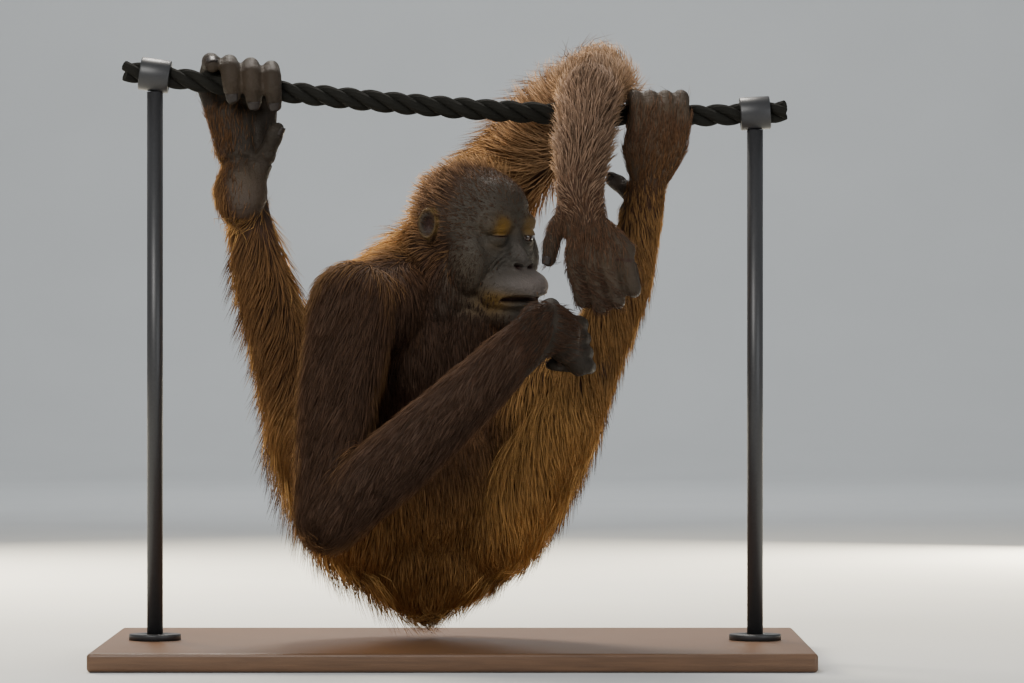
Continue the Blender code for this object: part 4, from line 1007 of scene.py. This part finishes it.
def new_group(name, inputs, outputs, kind="ShaderNodeTree"):
    """A node group with sockets of given names and kinds, and its inputs as they are seen inside."""
    tree = bpy.data.node_groups.new(name, kind)
    for way, sockets in (("INPUT", inputs), ("OUTPUT", outputs)):
        for socket, holds in sockets.items():
            tree.interface.new_socket(socket, in_out=way, socket_type="NodeSocket" + holds)
    return tree, tree.nodes.new("NodeGroupInput").outputs


def add_node(tree, kind, inputs=(), **settings):
    """A new node with its settings, and its inputs fed from sockets or set, by name or number."""
    made = tree.nodes.new(kind)
    for key, value in settings.items():
        setattr(made, key, value)
    for key, value in dict(inputs).items():
        if isinstance(value, bpy.types.NodeSocket):
            tree.links.new(value, made.inputs[key])
        else:
            made.inputs[key].default_value = value
    return made


def attribute(tree, name):
    return add_node(tree, "ShaderNodeAttribute", attribute_name=name).outputs["Fac"]


def mix_colour(tree, share, low, high, blend="MIX"):
    """A colour between two colours or sockets, by a share."""
    low, high = ((*value, 1.0) if isinstance(value, tuple) else value for value in (low, high))
    mix = add_node(tree, "ShaderNodeMix", {0: share, 6: low, 7: high}, data_type="RGBA", blend_type=blend)
    return mix.outputs[2]


def maths(tree, operation, *values):
    return add_node(tree, "ShaderNodeMath", enumerate(values), operation=operation).outputs[0]


def grain_group():
    """Noise that stays put on a piece, for the grain of its material."""
    group, given = new_group("surface grain", {"Scale": "Float", "Detail": "Float", "Stretch": "Vector"},
                             {"Grain": "Float"})
    place = add_node(group, "ShaderNodeTexCoord").outputs["Object"]
    mapped = add_node(group, "ShaderNodeMapping", {"Vector": place, "Scale": given["Stretch"]}).outputs[0]
    made = add_node(group, "ShaderNodeTexNoise",
                    {"Vector": mapped, "Scale": given["Scale"], "Detail": given["Detail"]})
    add_node(group, "NodeGroupOutput", {"Grain": made.outputs["Fac"]})
    return group


def grain(tree, scale, detail=4.0, stretch=(1, 1, 1)):
    """The shared grain with a material's own values."""
    group = bpy.data.node_groups.get("surface grain") or grain_group()
    made = add_node(tree, "ShaderNodeGroup", node_tree=group)
    for name, value in (("Scale", scale), ("Detail", detail), ("Stretch", stretch)):
        made.inputs[name].default_value = value
    return made.outputs["Grain"]


def raise_by(tree, shader, height, strength, distance):
    """Roughens a material by a height over its surface."""
    made = add_node(tree, "ShaderNodeBump", {"Strength": strength, "Distance": distance, "Height": height})
    tree.links.new(made.outputs["Normal"], shader.inputs["Normal"])


# Hair colours: roots, middles, a darker shade that is partly darker hair and partly painted shade, golden
# tips that mostly show as a painted rim glow, and a painted greyish sky sheen
ROOT_COLOUR = (0.030, 0.014, 0.008)
MIDDLE_COLOUR = (0.150, 0.058, 0.024)
DARK_COLOUR = (0.040, 0.0265, 0.0195)
GOLD_COLOUR = (0.940, 0.540, 0.180)
PAINTED_SKY_SHEEN_COLOUR = (0.255, 0.190, 0.155)
# Colours over the bare skin, each where the attribute of its name says; pale is a painted sheen and
# highlight, inner is painted shade in hollows and slits, and warm is brown skin that on the left foot is
# partly painted sunlight
SKIN_MARKS = {"warm": (0.150, 0.100, 0.060), "ochre": (0.158, 0.086, 0.015), "pale": (0.150, 0.128, 0.116),
              "inner": (0.030, 0.012, 0.010), "cover": (0.050, 0.026, 0.016)}
# Colours of the eyeball by the angle from the way it looks: pupil, iris, its edge and the white
EYE_RINGS = ((0.20, (0.002, 0.002, 0.002)), (0.24, (0.060, 0.024, 0.008)), (0.50, (0.030, 0.012, 0.005)),
             (0.56, (0.012, 0.007, 0.005)), (0.75, (0.060, 0.040, 0.030)))


def hair_group():
    """Colour of a hair by its share of length and the coat's shades at its root."""
    takes = dict.fromkeys(("Along", "Shade", "Gold", "Dark", "Ash"), "Float")
    group, given = new_group("orangutan hair colour", takes, {"Color": "Color"})
    body = mix_colour(group, maths(group, "POWER", given["Along"], 0.8), ROOT_COLOUR, MIDDLE_COLOUR)
    rise = maths(group, "MULTIPLY_ADD", maths(group, "POWER", given["Along"], 1.3), 0.75, 0.25)
    # Golden tips, mostly a painted rim glow
    golden = mix_colour(group, maths(group, "MULTIPLY", rise, given["Gold"]), body, GOLD_COLOUR)
    # Painted greyish sky sheen, strongest at the tips
    sheen_share = maths(group, "MULTIPLY_ADD", given["Along"], 0.62, 0.38)
    with_sky_sheen = mix_colour(group, maths(group, "MULTIPLY", sheen_share, given["Ash"]), golden, PAINTED_SKY_SHEEN_COLOUR)
    # Darker shade, partly darker hair and partly painted shade
    darkened = mix_colour(group, maths(group, "MULTIPLY", given["Dark"], 0.92), with_sky_sheen, DARK_COLOUR)
    light = maths(group, "MULTIPLY_ADD", given["Shade"], 0.7, 0.65)
    grey = add_node(group, "ShaderNodeCombineColor", dict.fromkeys(range(3), light)).outputs[0]
    add_node(group, "NodeGroupOutput", {"Color": mix_colour(group, 1.0, darkened, grey, "MULTIPLY")})
    return group


def coat_material():
    made, tree, shader = new_material("orangutan coat")
    shades = {name.capitalize(): attribute(tree, name) for name in ("along", "shade", "gold", "dark", "ash")}
    hair = add_node(tree, "ShaderNodeGroup", shades, node_tree=hair_group())
    tree.links.new(hair.outputs["Color"], shader.inputs["Base Color"])
    shader.inputs["Roughness"].default_value = 0.72
    shader.inputs["Specular IOR Level"].default_value = 0.12
    return made


def skin_material():
    made, tree, shader = new_material("orangutan skin")
    mottled = grain(tree, 60)
    bare = mix_colour(tree, mottled, (0.0270, 0.0236, 0.0190), (0.0600, 0.0530, 0.0440))
    darker = mix_colour(tree, mottled, (0.0120, 0.0092, 0.0066), (0.0290, 0.0220, 0.0155))
    colour = mix_colour(tree, attribute(tree, "limb"), bare, darker)
    for name, mark in SKIN_MARKS.items():
        colour = mix_colour(tree, attribute(tree, name), colour, mark)
    tree.links.new(colour, shader.inputs["Base Color"])
    rough = maths(tree, "MULTIPLY_ADD", attribute(tree, "cover"), 0.36, 0.56)
    tree.links.new(rough, shader.inputs["Roughness"])
    shader.inputs["Specular IOR Level"].default_value = 0.20
    place = add_node(tree, "ShaderNodeTexCoord").outputs["Object"]
    cells = add_node(tree, "ShaderNodeTexVoronoi", {"Vector": place, "Scale": 480},
                     feature="DISTANCE_TO_EDGE")
    fine = maths(tree, "MINIMUM", cells.outputs["Distance"], 0.12)
    height = maths(tree, "MULTIPLY_ADD", grain(tree, 210, 6.0, (1, 1, 1.8)), 0.45, fine)
    raise_by(tree, shader, height, 0.85, 0.0026)
    return made


def mark_skin(skin):
    """Stores where the skin is darker, warm, ochre or under the coat, where it has a painted sheen (pale),
    and where painted shade darkens the inside of the mouth and nose, the slits of the lids and the ear
    hollows (inner).
    """
    places = vertices_of(skin)
    local = in_head(places)
    from_head = np.linalg.norm(local, axis=1)
    front = slope(local[:, 0], 0.055, 0.004)
    over = local[:, 2] - mouth_line(local)
    upper_lip = slope(over, 0.003, 0.002)
    ochre = np.zeros(len(places))
    for side in (-1, 1):
        lids = slope(soft(local, (0.055, side * 0.0205, 0.0008), (0.024, 0.0120, 0.0112)), 0.42, 0.12)
        ochre += LID_OCHRE[side] * lids * slope(local[:, 2], lid_gap(side) + 0.0004, 0.0006)
        ochre += 0.12 * soft(local, (0.055, side * 0.0260, -0.017), (0.020, 0.008, 0.006))
        ochre += 0.60 * soft(local, (0.060, side * 0.032, -0.076), (0.022, 0.012, 0.012))
        ochre += 0.22 * soft(local, (0.040, side * 0.034, -0.092), (0.030, 0.018, 0.018))
        ochre += 0.14 * soft(local, (0.026, side * 0.044, -0.045), (0.030, 0.020, 0.030))
    ochre += 0.40 * ridge(over - 0.004, 0.006) * front * slope(np.abs(local[:, 1]), 0.012, 0.004)
    ochre *= slope(HEAD_REACH - from_head, 0, 0.004)
    # Painted sheen and highlight: pale on the upper lip, brighter at its far end, on the bridge of the nose,
    # the right heel and the left big toe
    pale = 1.10 * soft(local, (0.090, 0, -0.053), (0.030, 0.034, 0.012)) * upper_lip
    pale += 0.35 * soft(local, (0.066, 0, -0.022), (0.014, 0.006, 0.012))
    pale *= from_head < HEAD_REACH
    pale += 0.55 * soft(local, (0.090, 0.016, -0.050), (0.020, 0.016, 0.012)) * upper_lip
    pale += 0.20 * soft(places, (-0.212, -0.022, 0.456), (0.018, 0.014, 0.018))
    pale += 0.50 * soft(places, (0.163, 0.016, 0.478), (0.012, 0.012, 0.008))
    warm = 0.26 * soft(places, (-0.212, -0.020, 0.470), (0.030, 0.026, 0.030))
    warm += 0.24 * soft(places, (-0.215, -0.010, 0.575), (0.050, 0.030, 0.026))
    # Partly painted sunlight: the warm patch on the left foot is brown skin made brighter as if lit
    warm += 0.60 * soft(places, (0.200, -0.026, 0.515), (0.045, 0.035, 0.055))
    warm += 0.30 * soft(places, (0.138, -0.150, 0.395), (0.050, 0.035, 0.060))
    # Painted shade: dark in the parting of the lips, the nostrils and the slits of the lids
    lip_parting_shade = 1.2 * ridge(over, 0.0022) * slope(local[:, 0], 0.050, 0.003) * (np.abs(local[:, 1]) < 0.028)
    inside = lip_parting_shade * (from_head < HEAD_REACH)
    for side in (-1, 1):
        inside += 1.4 * soft(local, (0.0640, side * 0.0086, -0.0374), (0.0075, 0.0044, 0.0026))
        slit = ridge(local[:, 2] - lid_gap(side), 0.0009) * (np.abs(local[:, 1] - side * 0.020) < 0.0095)
        inside += 1.5 * slit * front
    for side in (-1, 1):
        ear, _ = in_ear(local, side)
        near = np.linalg.norm(ear, axis=1) < EAR_REACH
        # Painted shade in the hollow of the ear
        inside += 0.95 * near * soft(ear, (0.001, 0, 0), (0.0058, 0.02, 0.0095)) * (ear[:, 1] * side < 0.0035)
        rim = np.hypot(ear[:, 0] / 0.0100, ear[:, 2] / 0.0160)
        ochre += 0.60 * near * ridge(rim - 1.0, 0.24)
    marks = {"limb": slope(from_head, 0.120, 0.003), "warm": warm, "ochre": ochre, "pale": pale,
             "inner": inside, "cover": coat_at(places)["density"]}
    for name, value in marks.items():
        skin.data.attributes.new(name, "FLOAT", "POINT").data.foreach_set("value", np.clip(value, 0, 1))


def eye_material():
    made, tree, shader = new_material("orangutan eye")
    ramp = add_node(tree, "ShaderNodeValToRGB", {"Fac": attribute(tree, "from_gaze")})
    rings = ramp.color_ramp.elements
    rings.remove(rings[1])
    rings[0].color = (*EYE_RINGS[0][1], 1)
    for angle, colour in EYE_RINGS:
        rings.new(angle).color = (*colour, 1)
    tree.links.new(ramp.outputs["Color"], shader.inputs["Base Color"])
    shader.inputs["Roughness"].default_value = 0.16
    shader.inputs["Coat Weight"].default_value = 0.7
    shader.inputs["Coat Roughness"].default_value = 0.10
    return made


def make_eye(side, name, material):
    """An eyeball with a raised clear front, looking a little down and to the front."""
    bm = bmesh.new()
    bmesh.ops.create_uvsphere(bm, u_segments=48, v_segments=32, radius=EYE_RADIUS - FIT)
    gaze = Vector((1.0, side * 0.10, -0.10)).normalized()
    bmesh.ops.transform(bm, matrix=gaze.to_track_quat("Z", "Y").to_matrix().to_4x4(), verts=bm.verts)
    angles = []
    for vert in bm.verts:
        angle = vert.co.angle(gaze)
        vert.co *= 1 + 0.03 * math.exp(-(angle / 0.42) ** 2)
        angles.append(angle)
    place = head_frame() @ Matrix.Translation(mirrored(EYE_PLACE, side))
    bmesh.ops.transform(bm, matrix=place, verts=bm.verts)
    eye = object_from("eyeball_" + name, bm)
    eye.data.attributes.new("from_gaze", "FLOAT", "POINT").data.foreach_set("value", angles)
    eye.data.materials.append(material)
    smooth_faces(eye)
    return eye


def nail_places():
    """Each digit with the way that its back faces at the tip."""
    found = []
    for points, radii in right_toes()[:4] + left_toes()[:4]:
        centre = Vector((points[-1].x, 0, rope_height(points[-1].x)))
        found.append((points, radii, points[-1] - centre))
    for points, radii in left_fingers()[:4]:
        found.append((points, radii, Vector((0, 1, -0.15))))
    for points, radii in right_fingers()[:4]:
        found.append((points, radii, Vector((-0.3, 1, 0.05))))
    found.append((*right_toes()[4], Vector((0.75, -0.35, -0.3))))
    found.append((*left_toes()[4], Vector((-0.2, -0.6, 0.7))))
    found.append((*left_fingers()[4], Vector((-0.55, -0.85, 0))))
    found.append((*right_fingers()[4], Vector((0, -0.2, 1))))
    return found


def nail_sheet(bm, tip, along, back, radius):
    """Rows of corners of a curved plate over a tip, from its root to its rounded end."""
    side = along.cross(back)
    rows = []
    for i in range(NAIL_ROWS):
        share = i / (NAIL_ROWS - 1)
        width = 0.80 * math.sqrt(max(0.0, 1 - max(0.0, (share - 0.55) / 0.62) ** 2))
        drop = 0.0016 * max(0.0, share - 0.4) ** 2 - 0.0005 * (share < 0.01)
        row = []
        for j in range(NAIL_COLUMNS):
            angle = width * (2 * j / (NAIL_COLUMNS - 1) - 1)
            row.append(bm.verts.new(tip + along * (NAIL_LENGTH * (share - 0.45))
                                    + back * (radius - drop) * math.cos(angle)
                                    + side * (radius - drop) * math.sin(angle)))
        rows.append(row)
    return rows


def make_nails():
    """Small curved plates over the tips of the digits."""
    bm = bmesh.new()
    last_row, last_column = NAIL_ROWS - 1, NAIL_COLUMNS - 1
    rim = [(i, 0) for i in range(NAIL_ROWS)] + [(last_row, j) for j in range(1, NAIL_COLUMNS)]
    rim += [(i, last_column) for i in range(last_row - 1, -1, -1)]
    rim += [(0, j) for j in range(last_column - 1, 0, -1)]
    for points, radii, back in nail_places():
        tip, along = points[-1], (points[-1] - points[-2]).normalized()
        back = (back - along * back.dot(along)).normalized()
        radius = radii[-1] + 0.0003
        top, under = (nail_sheet(bm, tip, along, back, radius + depth) for depth in (0.0, -NAIL_DEPTH))
        for i in range(last_row):
            for j in range(last_column):
                bm.faces.new((top[i][j], top[i + 1][j], top[i + 1][j + 1], top[i][j + 1]))
                bm.faces.new((under[i][j], under[i][j + 1], under[i + 1][j + 1], under[i + 1][j]))
        for (a, b), (c, d) in zip(rim, rim[1:] + rim[:1]):
            bm.faces.new((top[a][b], under[a][b], under[c][d], top[c][d]))
    bmesh.ops.recalc_face_normals(bm, faces=bm.faces)
    nails = object_from("nails", bm)
    smooth_faces(nails)
    made, tree, shader = new_material("dark horn nail")
    horn = mix_colour(tree, grain(tree, 500), (0.012, 0.009, 0.008), (0.032, 0.025, 0.021))
    tree.links.new(horn, shader.inputs["Base Color"])
    shader.inputs["Roughness"].default_value = 0.42
    shader.inputs["Specular IOR Level"].default_value = 0.30
    nails.data.materials.append(made)
    return nails


# The rope, by Geometry Nodes
def rope_tree():
    """Twists strands of yarns along a line, with inputs for their sizes."""
    takes = {"Line": "Geometry", "Strand Offset": "Float", "Strand Radius": "Float", "Turns": "Float",
             "Material": "Material"}
    tree, given = new_group("laid rope", takes, {"Rope": "Geometry"}, "GeometryNodeTree")
    along = add_node(tree, "GeometryNodeSplineParameter").outputs["Factor"]
    turn = maths(tree, "MULTIPLY", maths(tree, "MULTIPLY", along, given["Turns"]), 2 * math.pi)
    round_yarns = maths(tree, "MULTIPLY", along, 2 * math.pi * ROPE_YARNS)
    swell = maths(tree, "MULTIPLY", maths(tree, "SINE", round_yarns), YARN_SWELL)
    circle = add_node(tree, "GeometryNodeCurvePrimitiveCircle",
                      {"Resolution": 36, "Radius": given["Strand Radius"]})
    place = add_node(tree, "GeometryNodeInputPosition").outputs["Position"]
    grow = add_node(tree, "ShaderNodeVectorMath", {0: place, "Scale": swell}, operation="SCALE")
    yarns = add_node(tree, "GeometryNodeSetPosition", {"Geometry": circle.outputs["Curve"],
                                                       "Offset": grow.outputs["Vector"]})
    joined = add_node(tree, "GeometryNodeJoinGeometry")
    for i in range(ROPE_STRANDS):
        angle = maths(tree, "ADD", turn, 2 * math.pi * i / ROPE_STRANDS)
        shift = add_node(tree, "ShaderNodeCombineXYZ", {
            axis: maths(tree, "MULTIPLY", maths(tree, way, angle), given["Strand Offset"])
            for axis, way in (("Y", "COSINE"), ("Z", "SINE"))})
        move = add_node(tree, "GeometryNodeSetPosition", {"Geometry": given["Line"],
                                                          "Offset": shift.outputs[0]})
        tilt = add_node(tree, "GeometryNodeSetCurveTilt", {"Curve": move.outputs[0],
                                                           "Tilt": maths(tree, "MULTIPLY", turn, -0.6)})
        tube = add_node(tree, "GeometryNodeCurveToMesh", {"Curve": tilt.outputs[0], "Fill Caps": True,
                                                          "Profile Curve": yarns.outputs[0]})
        tree.links.new(tube.outputs["Mesh"], joined.inputs["Geometry"])
    real = add_node(tree, "GeometryNodeRealizeInstances", {"Geometry": joined.outputs[0]})
    paint = add_node(tree, "GeometryNodeSetMaterial", {"Geometry": real.outputs[0],
                                                       "Material": given["Material"]})
    add_node(tree, "NodeGroupOutput", {"Rope": paint.outputs[0]})
    return tree


def rope_material():
    made, tree, shader = new_material("weathered rope fibre")
    fibres = grain(tree, 900, 5.0, (0.25, 1, 1))
    base = mix_colour(tree, fibres, (0.003, 0.003, 0.0025), (0.017, 0.016, 0.013))
    worn = mix_colour(tree, grain(tree, 45), base, (0.012, 0.0115, 0.009))
    tree.links.new(worn, shader.inputs["Base Color"])
    shader.inputs["Specular IOR Level"].default_value = 0.13
    shader.inputs["Roughness"].default_value = 0.82
    raise_by(tree, shader, fibres, 0.6, 0.0008)
    return made


def make_rope():
    """The laid rope, along the same sag as the part's."""
    curve = bpy.data.curves.new("rope line", "CURVE")
    curve.dimensions = "3D"
    line = curve.splines.new("POLY")
    line.points.add(ROPE_STEPS)
    for i, point in enumerate(line.points):
        x = -ROPE_END_X + 2 * ROPE_END_X * i / ROPE_STEPS
        point.co = (x, 0, rope_height(x), 1)
    rope = bpy.data.objects.new("rope", curve)
    bpy.context.scene.collection.objects.link(rope)
    tree = rope_tree()
    twist = rope.modifiers.new("twist", "NODES")
    twist.node_group = tree
    sizes = {"Strand Offset": 0.52 * ROPE_RADIUS, "Strand Radius": 0.46 * ROPE_RADIUS,
             "Turns": 2 * ROPE_END_X / ROPE_LAY, "Material": rope_material()}
    for socket in tree.interface.items_tree:
        if socket.name in sizes:
            twist[socket.identifier] = sizes[socket.name]
    graph = bpy.context.evaluated_depsgraph_get()
    mesh = bpy.data.meshes.new_from_object(rope.evaluated_get(graph))
    remove(rope)
    made = bpy.data.objects.new("perch_rope_laid", mesh)
    bpy.context.scene.collection.objects.link(made)
    smooth_faces(made)
    return made


# The stand
def wood_material():
    made, tree, shader = new_material("oiled dark wood")
    fine = grain(tree, 260, 4.0, (0.12, 3, 3))
    bands = mix_colour(tree, grain(tree, 30, 6.0, (0.6, 9, 9)), (0.070, 0.034, 0.016), (0.190, 0.100, 0.050))
    wood = mix_colour(tree, maths(tree, "MULTIPLY", fine, 0.5), bands, (0.050, 0.026, 0.014))
    tree.links.new(wood, shader.inputs["Base Color"])
    shader.inputs["Roughness"].default_value = 0.42
    raise_by(tree, shader, fine, 0.25, 0.0005)
    return made


def metal_material():
    made, tree, shader = new_material("satin black metal")
    speckle = grain(tree, 420, 3.0)
    tone = mix_colour(tree, speckle, (0.018, 0.018, 0.019), (0.034, 0.034, 0.036))
    tree.links.new(tone, shader.inputs["Base Color"])
    tree.links.new(maths(tree, "MULTIPLY_ADD", speckle, 0.12, 0.34), shader.inputs["Roughness"])
    return made


def turned(name, start, along, outline, segments=64):
    """A round piece from a row of (distance along, radius), which ends on the axis or closes as a ring."""
    side = along.orthogonal().normalized()
    other = along.cross(side)
    bm = bmesh.new()
    rows = []
    for distance, radius in outline:
        middle = start + along * distance
        angles = [2 * math.pi * i / segments for i in range(segments if radius else 1)]
        rows.append([bm.verts.new(middle + (side * math.cos(a) + other * math.sin(a)) * radius)
                     for a in angles])
    pairs = list(zip(rows, rows[1:]))
    if outline[0][1] and outline[-1][1]:
        pairs.append((rows[-1], rows[0]))
    for low, high in pairs:
        for i in range(segments):
            corners = [low[i % len(low)], low[(i + 1) % len(low)]]
            corners += [high[(i + 1) % len(high)], high[i % len(high)]]
            bm.faces.new(list(dict.fromkeys(corners)))
    bmesh.ops.recalc_face_normals(bm, faces=bm.faces)
    made = object_from(name, bm)
    smooth_faces(made)
    return made


def make_base(wood):
    bm = bmesh.new()
    bmesh.ops.create_cube(bm, size=1.0)
    bmesh.ops.scale(bm, vec=BASE_SIZE, verts=bm.verts)
    bmesh.ops.translate(bm, vec=(0, 0, BASE_SIZE[2] / 2), verts=bm.verts)
    base = object_from("stand_board", bm)
    rounding = base.modifiers.new("rounded edges", "BEVEL")
    rounding.width = BASE_EDGE
    rounding.segments = 5
    settle(base)
    smooth_faces(base)
    base.data.materials.append(wood)
    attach(base, "root")
    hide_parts("stand_base")


def make_stand():
    make_base(wood_material())
    metal = metal_material()
    up = Vector((0, 0, 1))
    worn = METAL_EDGE * 0.3
    for side, name in ((-1, "left"), (1, "right")):
        x = side * ROD_X
        centre = Vector((x, 0, rope_height(x)))
        slant = (rope_height(x + 0.01) - rope_height(x - 0.01)) / 0.02
        along = Vector((1, 0, slant)).normalized()
        half, bore = COLLAR_LENGTH / 2, ROPE_RADIUS + FIT
        collar = turned("stand_sleeve_" + name, centre, along, (
            (-half, bore), (-half, COLLAR_RADIUS - METAL_EDGE), (-half + worn, COLLAR_RADIUS - worn),
            (-half + METAL_EDGE, COLLAR_RADIUS), (half - METAL_EDGE, COLLAR_RADIUS),
            (half - worn, COLLAR_RADIUS - worn), (half, COLLAR_RADIUS - METAL_EDGE), (half, bore)))
        foot = Vector((x, 0, BASE_SIZE[2] + FIT))
        hole = ROD_RADIUS + FIT
        plate = turned("stand_plate_" + name, foot, up, (
            (0, hole), (0, FLANGE_RADIUS), (FLANGE_HEIGHT - METAL_EDGE, FLANGE_RADIUS),
            (FLANGE_HEIGHT - worn, FLANGE_RADIUS - worn), (FLANGE_HEIGHT, FLANGE_RADIUS - METAL_EDGE),
            (FLANGE_HEIGHT, hole)))
        top = rope_height(x) - COLLAR_RADIUS - BASE_SIZE[2] - 2 * FIT
        rod = turned("stand_pole_" + name, foot + up * FIT, up, (
            (0, 0), (0, ROD_RADIUS), (top, ROD_RADIUS), (top, 0)))
        for piece, node in ((collar, "stand_collar_"), (plate, "stand_flange_"), (rod, "stand_rod_")):
            piece.data.materials.append(metal)
            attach(piece, "root")
            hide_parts(node + name)


# Light, floor and camera
FLOOR_DROP = 0.0005
STUDIO_MIDDLE = (0, 0, 0.33)
# Name, place, target, width, power, colour, and whether it shows in gloss
LIGHTS = (
    ("key", (-1.2, -2.8, 2.3), STUDIO_MIDDLE, 1.6, 85, (1.0, 0.98, 0.95), True),
    ("fill", (2.4, -2.4, 1.0), STUDIO_MIDDLE, 2.0, 26, (0.94, 0.97, 1.0), True),
    ("rim left", (-1.4, 2.1, 1.1), STUDIO_MIDDLE, 0.9, 190, (1.0, 0.88, 0.66), False),
    ("rim right", (1.3, 2.5, 0.5), STUDIO_MIDDLE, 0.9, 150, (1.0, 0.88, 0.66), False),
    ("rim top", (-0.3, 1.5, 2.6), STUDIO_MIDDLE, 0.9, 75, (1.0, 0.94, 0.86), True),
    ("background", (0.0, 4.0, 3.2), (0, 9, 1.5), 2.5, 130, (0.95, 0.98, 1.0), True),
)


def area_light(name, place, target, size, power, colour, in_gloss):
    light = bpy.data.lights.new(name, "AREA")
    light.shape = "DISK"
    light.size = size
    light.energy = power
    light.color = colour
    made = bpy.data.objects.new(name, light)
    made.location = place
    made.rotation_euler = (Vector(target) - Vector(place)).to_track_quat("-Z", "Y").to_euler()
    made.visible_glossy = in_gloss
    bpy.context.scene.collection.objects.link(made)


def make_floor():
    """A floor that runs up into a wall through a quarter round."""
    outline = [(-9.0, 0.0), (6.5, 0.0)]
    for i in range(1, 16):
        angle = math.radians(6 * i)
        outline.append((6.5 + 2.5 * math.sin(angle), 2.5 - 2.5 * math.cos(angle)))
    outline.append((9.0, 7.0))
    bm = bmesh.new()
    rows = [[bm.verts.new((x, y, z - FLOOR_DROP)) for x in (-10, 10)] for y, z in outline]
    for low, high in zip(rows, rows[1:]):
        bm.faces.new((low[0], low[1], high[1], high[0]))
    floor = object_from("studio_floor", bm)
    smooth_faces(floor)
    made, tree, shader = new_material("pale studio floor")
    tone = mix_colour(tree, grain(tree, 2.5, 3.0), (0.50, 0.51, 0.51), (0.56, 0.57, 0.57))
    tree.links.new(tone, shader.inputs["Base Color"])
    shader.inputs["Roughness"].default_value = 0.85
    floor.data.materials.append(made)


def make_studio():
    make_floor()
    for light in LIGHTS:
        area_light(*light)
    world = bpy.data.worlds.new("soft studio")
    world.use_nodes = True
    world.node_tree.nodes["Background"].inputs["Color"].default_value = (0.80, 0.83, 0.86, 1)
    world.node_tree.nodes["Background"].inputs["Strength"].default_value = 0.45
    bpy.context.scene.world = world


def make_camera():
    camera = bpy.data.cameras.new("camera")
    camera.lens = CAMERA_LENS
    camera.sensor_width = SENSOR_WIDTH
    made = bpy.data.objects.new("camera", camera)
    made.location = CAMERA_PLACE
    made.rotation_euler = (math.radians(90), 0, 0)
    bpy.context.scene.collection.objects.link(made)
    bpy.context.scene.camera = made


def main():
    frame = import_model()
    make_camera()
    make_studio()
    make_stand()
    rope = make_rope()
    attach(rope, "root")
    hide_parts("perch_rope")
    skin = make_skin()
    mark_skin(skin)
    skin.data.materials.clear()
    skin.data.materials.append(skin_material())
    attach(skin, "root")
    flesh = [name for name in frame["nodes"] if not name.startswith(("stand", "perch", "eye"))]
    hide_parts(*flesh)
    eye = eye_material()
    for side, name in ((1, "left"), (-1, "right")):
        ball_piece = make_eye(side, name, eye)
        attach(ball_piece, "root")
        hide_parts("eye_" + name)
    nails = make_nails()
    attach(nails, "root")
    ground = Ground(skin)
    rng = np.random.default_rng(SEED)
    coat = coat_material()
    for piece in grow_coat(ground, rng) + [grow_down(ground, rng)]:
        piece.data.materials.append(coat)
        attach(piece, "root")


main()
